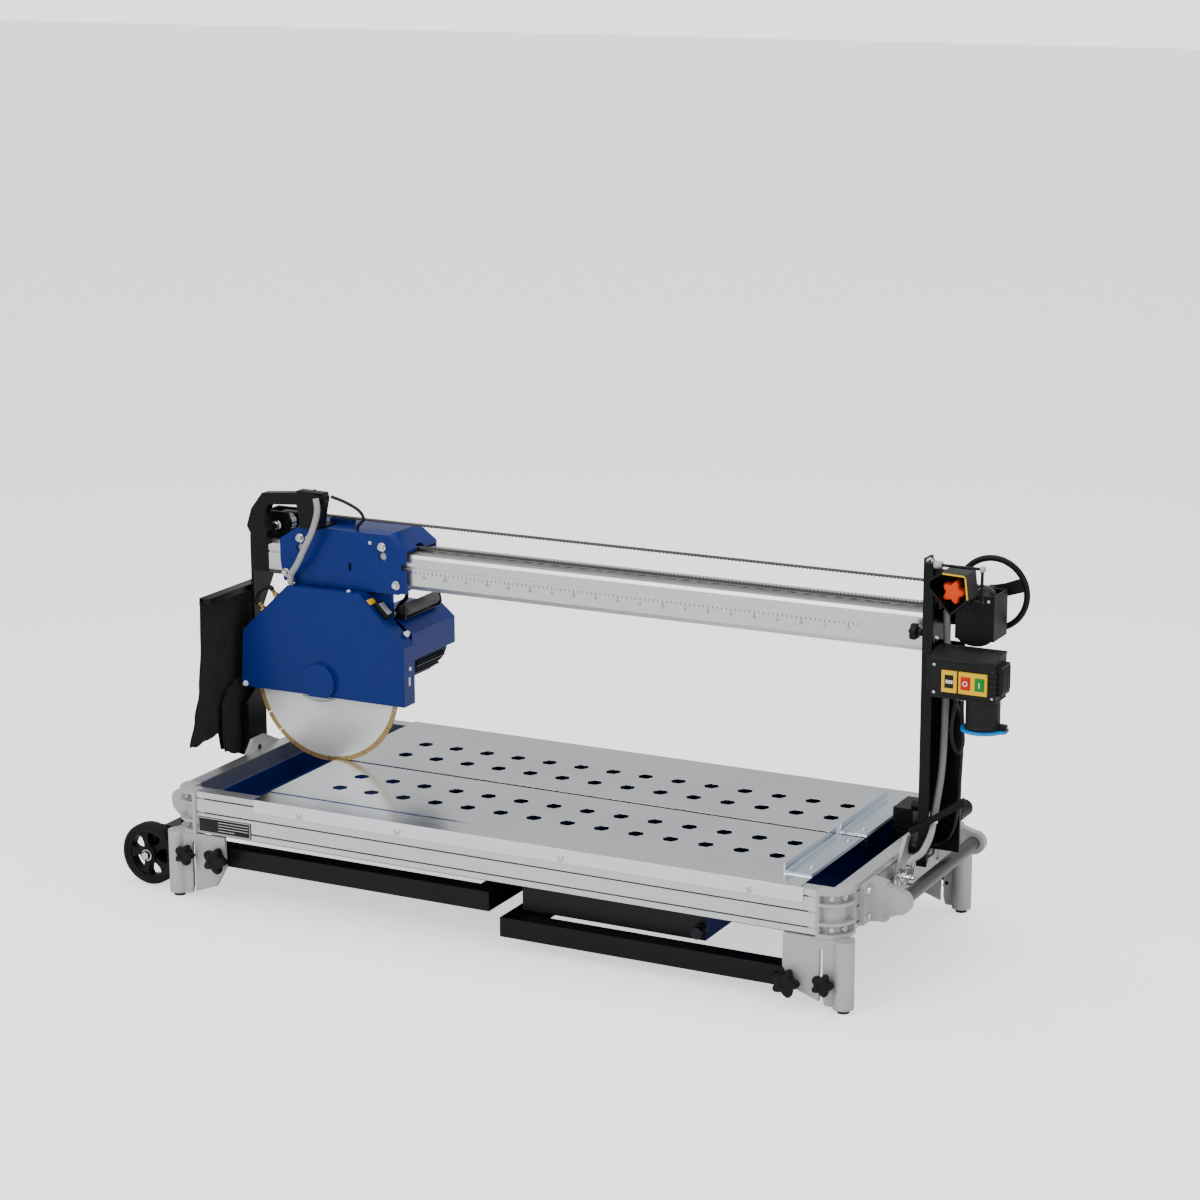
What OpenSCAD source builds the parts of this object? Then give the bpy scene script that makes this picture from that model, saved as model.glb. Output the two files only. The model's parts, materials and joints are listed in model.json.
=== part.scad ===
// Rail tile saw: a wet bridge saw with the saw head riding on a beam above a
// perforated table and water tray. +X runs along the cut, +Y to the back, +Z up,
// the floor is z = 0 and the cut line runs through y = 0.

/* [Frame] */
// length of the frame over its end rails
frame_l = 1496; // [1300:4:1700]
// depth of the frame over its long rails
frame_d = 644; // [560:4:760]
// height of the table surface above the floor, legs folded
table_h = 234; // [220:1:280]
// height of the rail profile
rail_h = 88; // [70:1:110]
// thickness of the rail profile
rail_t = 30; // [24:1:40]

/* [Table] */
// left end of the table halves
table_x0 = -550; // [-600:5:-450]
// right end of the table halves
table_x1 = 660; // [600:5:690]
// sheet thickness of the table halves
sheet_t = 3; // [2:0.5:4]
// pitch of the drain holes along the cut
hole_pitch = 75.8; // [60:0.1:80]
// size of the six-sided drain holes over the corners
hole_d = 34; // [20:1:40]
// open gap between the two table halves
gap_w = 9; // [6:0.5:16]

/* [Beam] */
// height of the beam underside above the table
beam_up = 387; // [330:1:420]
// height of the beam profile
beam_h = 75; // [60:1:90]
// width of the beam profile
beam_w = 100; // [80:1:120]
// front face of the beam behind the cut line
beam_y = 18; // [14:1:30]

/* [Saw head] */
// diameter of the blade
blade_d = 350; // [300:5:350]
// thickness of the blade
blade_t = 3; // [2:0.2:4]
// height of the blade centre above the table
blade_up = 171; // [160:1:174]
// where the saw head stands along the cut
head_x = -571; // [-571:1:-560]
// thickness of the blade guard over its plates
guard_t = 44; // [36:1:56]
// bore of the blade
bore_d = 25.4; // [20:0.2:30]
// running clearance between a shaft and its bore, on the radius
run_gap = 0.05; // [0.02:0.01:0.1]

/* [Legs] */
// size of the square leg tube
leg_tube = 40; // [30:1:50]
// length of a leg from its pivot to its foot
leg_len = 636; // [500:1:640]
// height of the left leg pivot below the table
leg_drop_l = 138; // [130:1:145]
// height of the right leg pivot below the table
leg_drop_r = 186; // [184:1:192]

/* [Wheels] */
// diameter of the transport wheels
wheel_d = 132; // [100:2:150]
// width of the transport wheels
wheel_w = 36; // [25:1:45]
// diameter of the drive handwheel
hand_d = 150; // [120:2:180]

/* [Hidden] */
$fn = 48;
eps = 0.01;
T = table_h;
fx = frame_l / 2;
fy = frame_d / 2;
wall = 3;
groove_w = 3;
groove_deep = 4;
groove_a = 14;
groove_b = 44;
groove_c = 75;
beam_x0 = -722;
beam_x1 = 775;
beam_z = T + beam_up;
beam_top = beam_z + beam_h;
beam_mid = beam_y + beam_w / 2;
bz = T + blade_up;
shaft_d = bore_d - 2 * run_gap;
leg_px = 640;
leg_y1 = fy - 14;
leg_zl = T - leg_drop_l;
leg_zr = T - leg_drop_r;
stud_d = 10;
knob_y = fy + 6;
axle_d = 12;
wheel_x = -838;
wheel_z = T - 166;
wheel_y = 300;
drive_x = 866;
idle_x = -708;
belt_z = T + 517;
belt_t = 4;
belt_w = 14;
pulley_r = 21.5;
drive_z = belt_z - belt_t - pulley_r;
carr_top = T + 502;
hand_r = hand_d / 2;

conduit_way = [[806, 30, T + 470], [808, 28, T + 430], [810, 26, T + 380],
  [810, 24, T + 300], [809, 22, T + 200], [807, 16, T + 140], [804, 6, T + 96], [802, -4, T + 60]];
lead_way = [[832, 2, T + 319.5], [833, 15, T + 296], [838, 34, T + 262], [839, 41, T + 220],
  [837, 42, T + 150], [832, 43, T + 70], [820, 45, T + 22], [800, 46, T + 1], [781.6, 46, T - 4]];
loop_way = [[846, -8, T + 321], [839, -8, T + 285], [834, -6, T + 245], [839, -4, T + 214],
  [850, -3, T + 202], [857.5, -3, T + 222], [857, -5, T + 250], [856, -8, T + 290], [857, -10, T + 321]];

hose_way = [[-571, -28, T + 572], [-568, -29, T + 545], [-580, -29, T + 505],
  [-601, -28, T + 465], [-624, -25, T + 425], [-648, -12, T + 398], [-651, -10, T + 377]];
roof_way = [[-556, 8, T + 571], [-528, 15, T + 561], [-498, 21, T + 545], [-488, 24, T + 527],
  [-500, 22, T + 511], [-501, 21, T + 502.8]];
motor_way_a = [[-440, 60, T + 375], [-446, 58, T + 352], [-452, 58, T + 332], [-453, 58, T + 318]];
motor_way_b = [[-424, 84, T + 375], [-424, 86, T + 352], [-440, 84, T + 334], [-448, 82, T + 319]];

// ---- helpers -------------------------------------------------------------

// half of the difference between the right and left overhangs; every piece is drawn from the
// middle of the frame and placed so that the origin is below the middle of the whole saw
mid_x = 23;
module placed() {
  translate([-mid_x, 0, 0])
    children();
}

// a cylinder along Y from y0 to y1
module ycyl(x, y0, y1, z, d) {
  translate([x, y1, z])
    rotate([90, 0, 0])
      cylinder(h = y1 - y0, d = d);
}

// a cylinder along X from x0 to x1
module xcyl(x0, x1, y, z, d) {
  translate([x0, y, z])
    rotate([0, 90, 0])
      cylinder(h = x1 - x0, d = d);
}

// a box from corner to corner
module bar(x0, x1, y0, y1, z0, z1) {
  translate([x0, y0, z0])
    cube([x1 - x0, y1 - y0, z1 - z0]);
}

// a plate in the XZ plane, given as points, from y0 to y1
module xzplate(pts, y0, y1) {
  translate([0, y1, 0])
    rotate([90, 0, 0])
      linear_extrude(y1 - y0)
        polygon(pts);
}

// a plate in the YZ plane, given as points, from x0 to x1
module yzplate(pts, x0, x1) {
  translate([x0, 0, 0])
    rotate([90, 0, 90])
      linear_extrude(x1 - x0)
        polygon(pts);
}

// a five-lobed clamping knob with its stud, axis along -Y from the seat
module star(head_d, head_h, stud_l, sd = stud_d) {
  lobes = 5;
  rotate([90, 0, 0]) {
    difference() {
      union() {
        cylinder(h = head_h, d = head_d * 0.72);
        for (i = [0 : lobes - 1])
          rotate([0, 0, i * 360 / lobes + 18])
            translate([head_d * 0.34, 0, 0])
              cylinder(h = head_h, d = head_d * 0.32, $fn = 24);
      }
      translate([0, 0, head_h - 3])
        cylinder(h = 4, d = head_d * 0.3);
    }
    translate([0, 0, -8])
      cylinder(h = 8 + eps, d = head_d * 0.4);
    translate([0, 0, -stud_l])
      cylinder(h = stud_l, d = sd - 2 * run_gap);
  }
}

function v_sub(a, b) = [a[0] - b[0], a[1] - b[1], a[2] - b[2]];
function unit(a) = a / max(norm(a), 0.0001);

// a smooth run through hand-chosen points
function spline_pt(p, i, t) =
  let (n = len(p) - 1)
  let (a = p[max(i - 1, 0)], b = p[i], c = p[min(i + 1, n)], d = p[min(i + 2, n)])
  0.5 * (2 * b + (c - a) * t + (2 * a - 5 * b + 4 * c - d) * t * t
    + (3 * b - a - 3 * c + d) * t * t * t);
function spline(p, k) =
  [for (i = [0 : len(p) - 2], j = [0 : k - 1]) spline_pt(p, i, j / k), p[len(p) - 1]];

// frames carried along a run without twisting
function turn(f, t) = unit(f - t * (f * t));
function frames(q, i, f) =
  let (t = unit(v_sub(q[min(i + 1, len(q) - 1)], q[max(i - 1, 0)])))
  let (g = turn(f, t))
  i == len(q) - 1 ? [[t, g]] : concat([[t, g]], frames(q, i + 1, g));

// a round hose through points, closed at both ends
module hose(p, r, k, sides, start) {
  q = spline(p, k);
  fr = frames(q, 0, start);
  n = len(q);
  pts = [for (i = [0 : n - 1], s = [0 : sides - 1])
    let (t = fr[i][0], u = fr[i][1], w = cross(t, u), a = 360 * s / sides)
    q[i] + r * cos(a) * u + r * sin(a) * w];
  faces = concat(
    [[for (s = [0 : sides - 1]) sides - 1 - s]],
    [for (i = [0 : n - 2], s = [0 : sides - 1])
      [i * sides + s, i * sides + (s + 1) % sides,
        (i + 1) * sides + (s + 1) % sides, (i + 1) * sides + s]],
    [[for (s = [0 : sides - 1]) (n - 1) * sides + s]]);
  polyhedron(points = pts, faces = faces, convexity = 4);
}

// ---- frame ---------------------------------------------------------------

// rail section: x outward from the inner face, y up from the underside
module rail_section() {
  difference() {
    square([rail_t, rail_h]);
    translate([wall, wall])
      square([rail_t - 2 * wall - groove_deep, groove_b - 22]);
    translate([wall, rail_h - groove_b + 6])
      square([rail_t - 2 * wall - groove_deep, groove_b - 9]);
    for (g = [groove_a, groove_b, groove_c])
      translate([rail_t - groove_deep, rail_h - g - groove_w / 2])
        square([groove_deep + 1, groove_w]);
  }
}

corner_r = 46;
post_x = 748;
corner_in = 54;

module long_rails() {
  placed() {
    l = fx - corner_in;
    color("silver")
      for (s = [-1, 1])
        translate([-l * s, s * (fy - rail_t), T - rail_h])
          rotate([90, 0, 90 * s])
            mirror([0, 0, 0])
              linear_extrude(2 * l)
                rail_section();
  }
}

module end_rails() {
  placed() {
    l = fy - corner_in;
    color("silver")
      for (s = [-1, 1])
        translate([s * (fx - rail_t), l * s, T - rail_h])
          rotate([90, 0, s > 0 ? 0 : 180])
            linear_extrude(2 * l)
              rail_section();
  }
}

// plan outline of a corner casting, outer corner rounded
module corner_plan(inset) {
  a = corner_in + 4;
  r = corner_r - inset;
  difference() {
    union() {
      square([a - corner_r, a - inset]);
      square([a - inset, a - corner_r]);
      intersection() {
        translate([a - corner_r, a - corner_r])
          circle(r);
        square([a, a]);
      }
    }
    square([a - rail_t - 4.8, a - rail_t - 4.8]);
  }
}

module corner_casting() {
  z0 = T - rail_h - 4;
  for (zz = [[0, 8], [24, 30], [62, 68], [84, rail_h + 4]])
    translate([0, 0, z0 + zz[0]])
      linear_extrude(zz[1] - zz[0])
        corner_plan(0);
  translate([0, 0, z0])
    linear_extrude(rail_h + 4)
      corner_plan(14);
  for (m = [0, 1])
    rotate([0, 0, m * 90])
      mirror([0, m, 0])
        translate([0, corner_in - 10, z0])
          cube([7, 14, rail_h + 4]);
}

// round-nosed lug that carries the end bar
module end_lug() {
  z1 = T - 6;
  z0 = T - 84;
  zm = T - 42;
  difference() {
    union() {
      translate([0, 0, z0])
        linear_extrude(z1 - z0)
          polygon([[fx + 0.2, 244], [fx + 10, 244], [fx + 10, 214], [fx + 40, 208],
            [fx + 40, 190], [fx + 0.2, 172]]);
      translate([fx + 66, 209, zm])
        rotate([90, 0, 0])
          cylinder(h = 18, d = 46);
      translate([0, 209, 0])
        rotate([90, 0, 0])
          linear_extrude(18)
            polygon([[fx + 20, z0], [fx + 66, zm - 23], [fx + 66, zm + 23], [fx + 20, z1]]);
    }
    translate([fx + 66, 203, zm])
      rotate([90, 0, 0])
        cylinder(h = 18, d = bar_d);
  }
}

// short rounded nose beside the corner at the wheel end
module end_nose() {
  xzplate([[fx - 16, T - 10], [fx + 12, T - 13], [fx + 23, T - 19], [fx + 30, T - 28], [fx + 32, T - 40],
    [fx + 29, T - 53], [fx + 21, T - 63], [fx + 3, T - 80], [fx - 16, T - 80]], 268.6, 287);
}
bar_d = 28;

module end_castings() {
  placed() {
    color("gainsboro") {
      for (sx = [0, 1], sy = [0, 1])
        mirror([sx, 0, 0])
          mirror([0, sy, 0])
            translate([fx - corner_in, fy - corner_in, 0])
              corner_casting();
      for (sy = [0, 1])
        mirror([0, sy, 0]) {
          end_lug();
          mirror([1, 0, 0])
            end_nose();
        }
    }
  }
}

module carry_bar() {
  placed() {
    color("dimgray")
      ycyl(fx + 66, -203, 203, T - 42, bar_d - 0.1);
  }
}

// bracket under a corner: plate with an open slot and a round outer post
module leg_bracket() {
  top = T - rail_h - 4.2;
  difference() {
    union() {
      xzplate([[627, top], [626, T - 158], [651, T - 200], [704, T - 219], [716, T - 225],
        [741, T - 224], [762, T - 212], [762, top]], fy - 8, fy);
      translate([post_x, fy - 8, T - 226])
        cylinder(h = top - T + 226, d = 40);
      bar(700, 760, fy - 34, fy - 6, top - 8, top);
    }
    translate([post_x, fy - 8, T - 227])
      cylinder(h = 7.2, d = 12.1);
    xzplate([[701, T - 230], [701, T - 116], [704.5, T - 111], [708, T - 116], [708, T - 208],
      [714, T - 230]], fy - 9, fy + 1);
    bar(640 - 40, 700, fy - 40, fy - 8, T - 260, top - 10);
    bar(640 - 40, 800, fy - 60, fy - 31, T - 260, top + 1);
  }
}

module leg_brackets() {
  placed() {
    color("lightgray")
      difference() {
        for (sx = [0, 1], sy = [0, 1])
          mirror([sx, 0, 0])
            mirror([0, sy, 0])
              leg_bracket();
        for (s = [-1, 1]) {
          ycyl(-leg_px, s > 0 ? fy - 9 : -fy - 1, s > 0 ? fy + 1 : -fy + 9, leg_zl, stud_d);
          ycyl(leg_px, s > 0 ? fy - 9 : -fy - 1, s > 0 ? fy + 1 : -fy + 9, leg_zr, stud_d);
          ycyl(-lock_x, s > 0 ? fy - 9 : -fy - 1, s > 0 ? fy + 1 : -fy + 9, lock_zl, lock_d);
          ycyl(lock_x, s > 0 ? fy - 9 : -fy - 1, s > 0 ? fy + 1 : -fy + 9, lock_zr, lock_d);
        }
      }
  }
}

foot_d = 24;
module leg_feet() {
  placed() {
    color("black")
      for (sx = [-1, 1], sy = [-1, 1]) {
        translate([sx * post_x, sy * (fy - 8), 0])
          cylinder(h = T - 226, d1 = foot_d, d2 = foot_d - 2);
        translate([sx * post_x, sy * (fy - 8), T - 226])
          cylinder(h = 6, d = 12);
      }
  }
}

// tray: lipped basin with a deeper sump on the right
tray_lip = T - 36;
tray_floor = T - 112;
sump_floor = T - 160;
tray_x = fx - rail_t - 1;
tray_y = fy - rail_t - 1;
sump_y = 264;
sump_x0 = 40;
sump_x1 = 440;

module water_tray() {
  placed() {
    t = 3;
    color("midnightblue")
      difference() {
        union() {
          bar(-tray_x, tray_x, -tray_y, tray_y, tray_lip - 50, tray_lip);
          bar(-tray_x + 20, tray_x - 20, -sump_y, sump_y, tray_floor, tray_lip - 50 + eps);
          bar(sump_x0, sump_x1, -sump_y, sump_y, sump_floor, tray_floor + eps);
          for (x = [-560 : 60 : 640])
            for (s = [-1, 1])
              bar(x, x + 6, s > 0 ? sump_y - eps : -sump_y - 12, s > 0 ? sump_y + 12 : -sump_y + eps,
                tray_floor + 12, tray_lip - 50 + eps);
          ycyl(430, -sump_y - 9, -sump_y + eps, sump_floor + 20, 30);
        }
        bar(-tray_x + t, tray_x - t, -tray_y + t, tray_y - t, tray_lip - 50 + t, tray_lip + 1);
        bar(-tray_x + 20 + t, tray_x - 20 - t, -sump_y + t, sump_y - t, tray_floor + t, tray_lip);
        bar(sump_x0 + t, sump_x1 - t, -sump_y + t, sump_y - t, sump_floor + t, tray_lip);
      }
    color("black") {
      // drain plug
      ycyl(430, -sump_y - 22, -sump_y - 9 + eps, sump_floor + 20, 24);
    }
  }
}

// one table half, front side; rows of six-sided holes
rows = [90, 176];
module table_half() {
  yin = gap_w / 2;
  step_y = 262;
  difference() {
    union() {
      bar(table_x0, table_x1, yin, step_y, T - sheet_t + 3, T + 3);
      // flange stepped down onto the long rail, and the cover lip outside it
      yzplate([[step_y - 4, T + 3], [step_y - 4, T], [step_y + 2, T], [step_y + 3, T + 0.2],
        [fy + 3.2, T + 0.2], [fy + 3.2, T + 2.2], [step_y + 6, T + 2.2], [step_y, T + 3]],
        table_x0, table_x1);
      bar(table_x0, table_x1 + 8, fy + 0.7, fy + 3.2, T - 26, T + 2.2);
      // stiffening flange, set back so that the tilted blade clears it
      bar(table_x0, table_x1, yin + 8, yin + 8 + sheet_t, T - 20, T + 1);
    }
    for (r = rows, i = [0 : 13])
      translate([table_hx0 + i * hole_pitch, r, T - 5])
        cylinder(h = 12, d = hole_d, $fn = 6);
  }
}
table_hx0 = -435.6;

module table_halves() {
  placed() {
    color("whitesmoke") {
      mirror([0, 1, 0])
        table_half();
      table_half();
    }
  }
}

// bent angles standing on the right end of each half
module fences() {
  placed() {
    color("lightsteelblue")
      for (s = [0, 1])
        mirror([0, s, 0])
          translate([0, 262, 0])
            rotate([90, 0, 0])
              linear_extrude(250)
                polygon([[601, T + 3.2], [601, T + 20], [604, T + 20], [604, T + 8], [610, T + 6.2],
                  [658, T + 6.2], [658, T + 3.2]]);
  }
}

// domed screw head pointing out along -Y
module y_screw(x, y, z, d, h) {
  ycyl(x, y - h, y, z, d);
  ycyl(x, y - h - 1, y - h + eps, z, d * 0.6);
}

module frame_screws() {
  placed() {
    color("silver") {
      for (x = [-440, -210, 158, 558])
        for (s = [0, 1])
          mirror([0, s, 0])
            y_screw(x, -fy - 3.2, T - 18, 12, 3);
      // two socket screws in each pocket of the corner castings
      for (sx = [0, 1], sy = [0, 1])
        mirror([sx, 0, 0])
          mirror([0, sy, 0])
            for (z = [T - rail_h + 12, T - 15])
              for (a = [25, 65])
                translate([fx + 4 - corner_r, fy + 4 - corner_r, z])
                  rotate([0, 0, a])
                    rotate([0, 90, 0])
                      translate([0, 0, corner_r - 14 - eps])
                        difference() {
                          cylinder(h = 8, d = 11);
                          translate([0, 0, 5])
                            cylinder(h = 4, d = 5, $fn = 6);
                        }
      // bolts through the lugs
      for (sy = [0, 1])
        mirror([0, sy, 0])
          for (z = [T - 20, T - 72])
            xcyl(fx + 10, fx + 18, 229, z, 13);
      // screws through the fence angles
      for (s = [-1, 1], y = [40, 220])
        translate([640, s * y, T + 6.2])
          cylinder(h = 3, d = 10);
    }
  }
}

module rating_plate() {
  placed() {
    color("black")
      bar(-690, -560, -fy - 1, -fy, T - 86, T - 52);
  }
}

// fixed feet that carry the tilting masts
pin_z = T + 1.5;
pin_d = 16;
module mast_foot() {
  difference() {
    yzplate([[-86, T - 84], [150, T - 84], [96, T - 8], [24, T + 26], [-24, T + 26], [-52, T - 8]],
      fx + 0.2, fx + 8);
    xcyl(fx - 1, fx + 10, 0, pin_z, pin_d + 2 * run_gap);
    xcyl(fx - 1, fx + 10, 90, T - 55, 14);
    xcyl(fx - 1, fx + 10, -46, T - 60, 10);
  }
}
module mast_feet() {
  placed() {
    color("lightgray") {
      mast_foot();
      mirror([1, 0, 0])
        mast_foot();
    }
  }
}

module wheel_axle() {
  placed() {
    color("black") {
      bar(-822, -782, -254, 254, T - 149, T - 109);
      for (s = [0, 1])
        mirror([0, s, 0]) {
          // stay under the end rail, drop plate and axle end
          bar(-784, -722, -250, -214, T - 113, T - 88.2);
          bar(-856, -784, -wheel_y + wheel_w + 4, -254 + eps, T - 188, T - 109);
          ycyl(wheel_x, -wheel_y - 4, -wheel_y + wheel_w + 6, wheel_z, axle_d - 2 * run_gap);
        }
    }
    color("silver")
      for (s = [0, 1])
        mirror([0, s, 0])
          ycyl(wheel_x, -wheel_y - 9, -wheel_y - 2, wheel_z, 20);
  }
}

// pump clamped on the right rail behind the mast
module pump() {
  placed() {
    color("black") {
      bar(fx - rail_t - 48, fx - rail_t - 6, 120, 200, T - 78, T + 34);
      ycyl(fx + 56, 100, 160, T + 40, 34);
      xcyl(fx - 40, fx + 56, 130, T + 40, 22);
    }
  }
}

// flat brace that rises across the front of the right mast
module strut_arm() {
  placed() {
    color("black")
      xzplate([[757, T + 39], [764, T + 31], [874, T + 106], [868, T + 120]], -24, -18);
  }
}

module tap_body() {
  placed() {
    color("silver") {
      bar(fx + 8.2, fx + 20, -90, -50, T - 52, T - 30);
      xcyl(fx + 12, fx + 37.5, -70, T - 40, 20);
      translate([fx + 30, -70, T - 58])
        cylinder(h = 42, d = 14);
      translate([fx + 30, -70, T - 72])
        cylinder(h = 14 + eps, d1 = 4, d2 = 18);
    }
  }
}

module tap_lever() {
  placed() {
    color("gold")
      translate([fx + 37.5 + 0.3, -70, T - 40]) {
        rotate([0, 90, 0])
          cylinder(h = 6, d = 12);
        bar(0, 4, -4, 4, 0, 34);
      }
  }
}

// ---- bridge --------------------------------------------------------------

rack_pitch = 33;
module beam() {
  placed() {
    color("silver")
      difference() {
        bar(beam_x0, beam_x1, beam_y, beam_y + beam_w, beam_z, beam_top);
        // inner chambers
        bar(beam_x0 - 1, beam_x1 + 1, beam_y + 9, beam_mid - 12, beam_z + 5, beam_top - 5);
        bar(beam_x0 - 1, beam_x1 + 1, beam_mid + 12, beam_y + beam_w - 9, beam_z + 5, beam_top - 5);
        // front and back slots
        bar(beam_x0 - 1, beam_x1 + 1, beam_y - 1, beam_y + 5, beam_z + 47, beam_z + 51);
        bar(beam_x0 - 1, beam_x1 + 1, beam_y + beam_w - 5, beam_y + beam_w + 1, beam_z + 47, beam_z + 51);
        // sloped lower front edge
        yzplate([[beam_y - 1, beam_z + 12], [beam_y - 1, beam_z - 1], [beam_y + 7, beam_z - 1]],
          beam_x0 - 1, beam_x1 + 1);
        yzplate([[beam_y - 1, beam_top + 1], [beam_y - 1, beam_top - 10], [beam_y + 3, beam_top + 1]],
          beam_x0 - 1, beam_x1 + 1);
        // drive slot along the top, with a row of pockets in its floor
        bar(beam_x0 - 1, beam_x1 + 1, beam_mid - 7, beam_mid + 7, beam_top - 5, beam_top + 1);
        for (x = [beam_x0 + 20 : rack_pitch : beam_x1 - 30])
          bar(x, x + 18, beam_mid - 4, beam_mid + 4, beam_top - 16, beam_top - 4);
        bar(beam_x0 - 1, beam_x1 + 1, beam_mid - 6, beam_mid + 6, beam_z - 1, beam_z + 8);
      }
  }
}

post_t = 6;
mast_knob_y = -2;
rx = beam_x1 + 0.2;
module mast_right() {
  placed() {
    color("black")
      difference() {
        union() {
          // web against the beam end, down to the pivot
          yzplate([[-24, T - 30], [62, T - 30], [62, T + 340], [122, beam_z - 4], [122, beam_top + 6],
            [40, beam_top + 30], [18, T + 579], [-18, T + 579], [-18, T + 20]], rx, rx + post_t);
          // folded edges
          bar(rx, rx + 20, -24, -18, T - 30, T + 20);
          bar(rx, rx + 20, -18, -12, T + 19, T + 579);
          bar(rx, rx + 58, 56, 62, T - 18, T + 404);
          // bush towards the fixed foot
          xcyl(fx + 8.4, rx + eps, 0, pin_z, 34);
        }
        // ways for the lower belt run and the clamp knob
        bar(rx - 1, rx + post_t + 1, 56, 80, T + 463, T + 474);
        xcyl(rx - 1, rx + post_t + 1, mast_knob_y, T + 430, stud_d);
      }
    color("silver") {
      // pivot pin, its head outside the web
      xcyl(fx + 1, rx + 8, 0, pin_z, pin_d);
      xcyl(rx + post_t, rx + 14, 0, pin_z, 26);
    }
  }
}

module mast_left() {
  placed() {
    color("black") {
          yzplate([[-18, T - 30], [60, T - 30], [60, T + 300], [120, beam_z - 4], [120, beam_top + 4],
            [26, beam_top + 4], [26, T + 132], [-18, T + 100]], -fx - 26, -fx - 20);
          bar(-fx - 26, -fx - 14, -18, -12, T - 30, T + 100);
          bar(-fx - 46, -fx - 26 + eps, 54, 60, T - 30, T + 300);
          // block under the beam end
          bar(-fx - 20 - eps, beam_x0 - 0.2, 26, 116, beam_z + 2, beam_top - 2);
          xcyl(-fx - 26, -fx - 8.4, 0, pin_z, 34);
          // curtain bar
          bar(-800, -780, -122, 96, T + 342, T + 352);
          bar(-800, -fx - 26 + eps, 60, 96, T + 342, T + 352);
    }
    color("silver") {
      xcyl(-fx - 28, -fx - 1, 0, pin_z, pin_d);
      xcyl(-fx - 34, -fx - 26, 0, pin_z, 26);
    }
  }
}

module idler_block() {
  placed() {
    y0 = 40;
    y1 = 96;
    color("black")
      difference() {
        union() {
          bar(-745, -686, y0, y0 + 6, beam_top, T + 519);
          bar(-745, -686, y1 - 6, y1, beam_top, T + 519);
          bar(-745, -739, y0, y1, beam_top, T + 519);
          bar(-745, -686, y0, y1, beam_top, T + 465);
        }
        ycyl(idle_x, y0 - 1, y1 + 1, drive_z, 12);
      }
    color("silver") {
      ycyl(idle_x, y0 - 6, y1 + 4, drive_z, 12);
      ycyl(idle_x, y0 - 8, y0 - eps, drive_z, 22);
    }
  }
}

module idler_pulley() {
  placed() {
    color("gray")
      difference() {
        union() {
          ycyl(idle_x, beam_mid - 9, beam_mid + 9, drive_z, 2 * pulley_r - 0.6);
        }
        ycyl(idle_x, beam_mid - 10, beam_mid + 10, drive_z, 12 + 2 * run_gap);
      }
  }
}

// belt loop round both pulleys
module drive_belt() {
  placed() {
    r0 = pulley_r;
    color("dimgray")
      difference() {
        union() {
          ycyl(idle_x, beam_mid - belt_w / 2, beam_mid + belt_w / 2, drive_z, 2 * (r0 + belt_t));
          ycyl(drive_x, beam_mid - belt_w / 2, beam_mid + belt_w / 2, drive_z, 2 * (r0 + belt_t));
          bar(idle_x, drive_x, beam_mid - belt_w / 2, beam_mid + belt_w / 2, drive_z - r0 - belt_t,
            drive_z + r0 + belt_t);
        }
        ycyl(idle_x, beam_mid - belt_w, beam_mid + belt_w, drive_z, 2 * r0);
        ycyl(drive_x, beam_mid - belt_w, beam_mid + belt_w, drive_z, 2 * r0);
        bar(idle_x, drive_x, beam_mid - belt_w, beam_mid + belt_w, drive_z - r0, drive_z + r0);
      }
  }
}

shaft_y = 16;
module drive_housing() {
  placed() {
    y0 = 22;
    y1 = 96;
    z0 = T + 408;
    z1 = T + 508;
    color("black")
      difference() {
        union() {
          bar(826, 904, y0, y1, z0 + 12, z1);
          translate([865, y1, z0 + 24])
            rotate([90, 0, 0])
              scale([1, 0.62, 1])
                cylinder(h = y1 - y0, d = 78);
          bar(rx + post_t, 830, 82, 88, T + 430, T + 470);
        }
        bar(820, 900, y0 + 4, y1 - 4, z0 + 30, z1 + 1);
        ycyl(drive_x, y0 - 1, y1 + 1, drive_z, 16 + 2 * run_gap);
      }
  }
}

module handwheel() {
  placed() {
    y0 = 112;
    color("black") {
      translate([drive_x, y0 + 6, drive_z])
        rotate([90, 0, 0])
          rotate_extrude($fn = 96)
            translate([hand_r - 6, 0])
              circle(d = 12, $fn = 24);
      for (a = [20, 200])
        translate([drive_x, y0 + 8, drive_z])
          rotate([0, -a, 0])
            bar(10, hand_r - 6, -8, -3, -13, 13);
      ycyl(drive_x, 98, y0 + 10, drive_z, 34);
    }
    color("silver")
      ycyl(drive_x, 18, 100, drive_z, 16);
    color("gray")
      ycyl(drive_x, beam_mid - 10, beam_mid + 10, drive_z, 2 * pulley_r - 0.6);
  }
}

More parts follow.
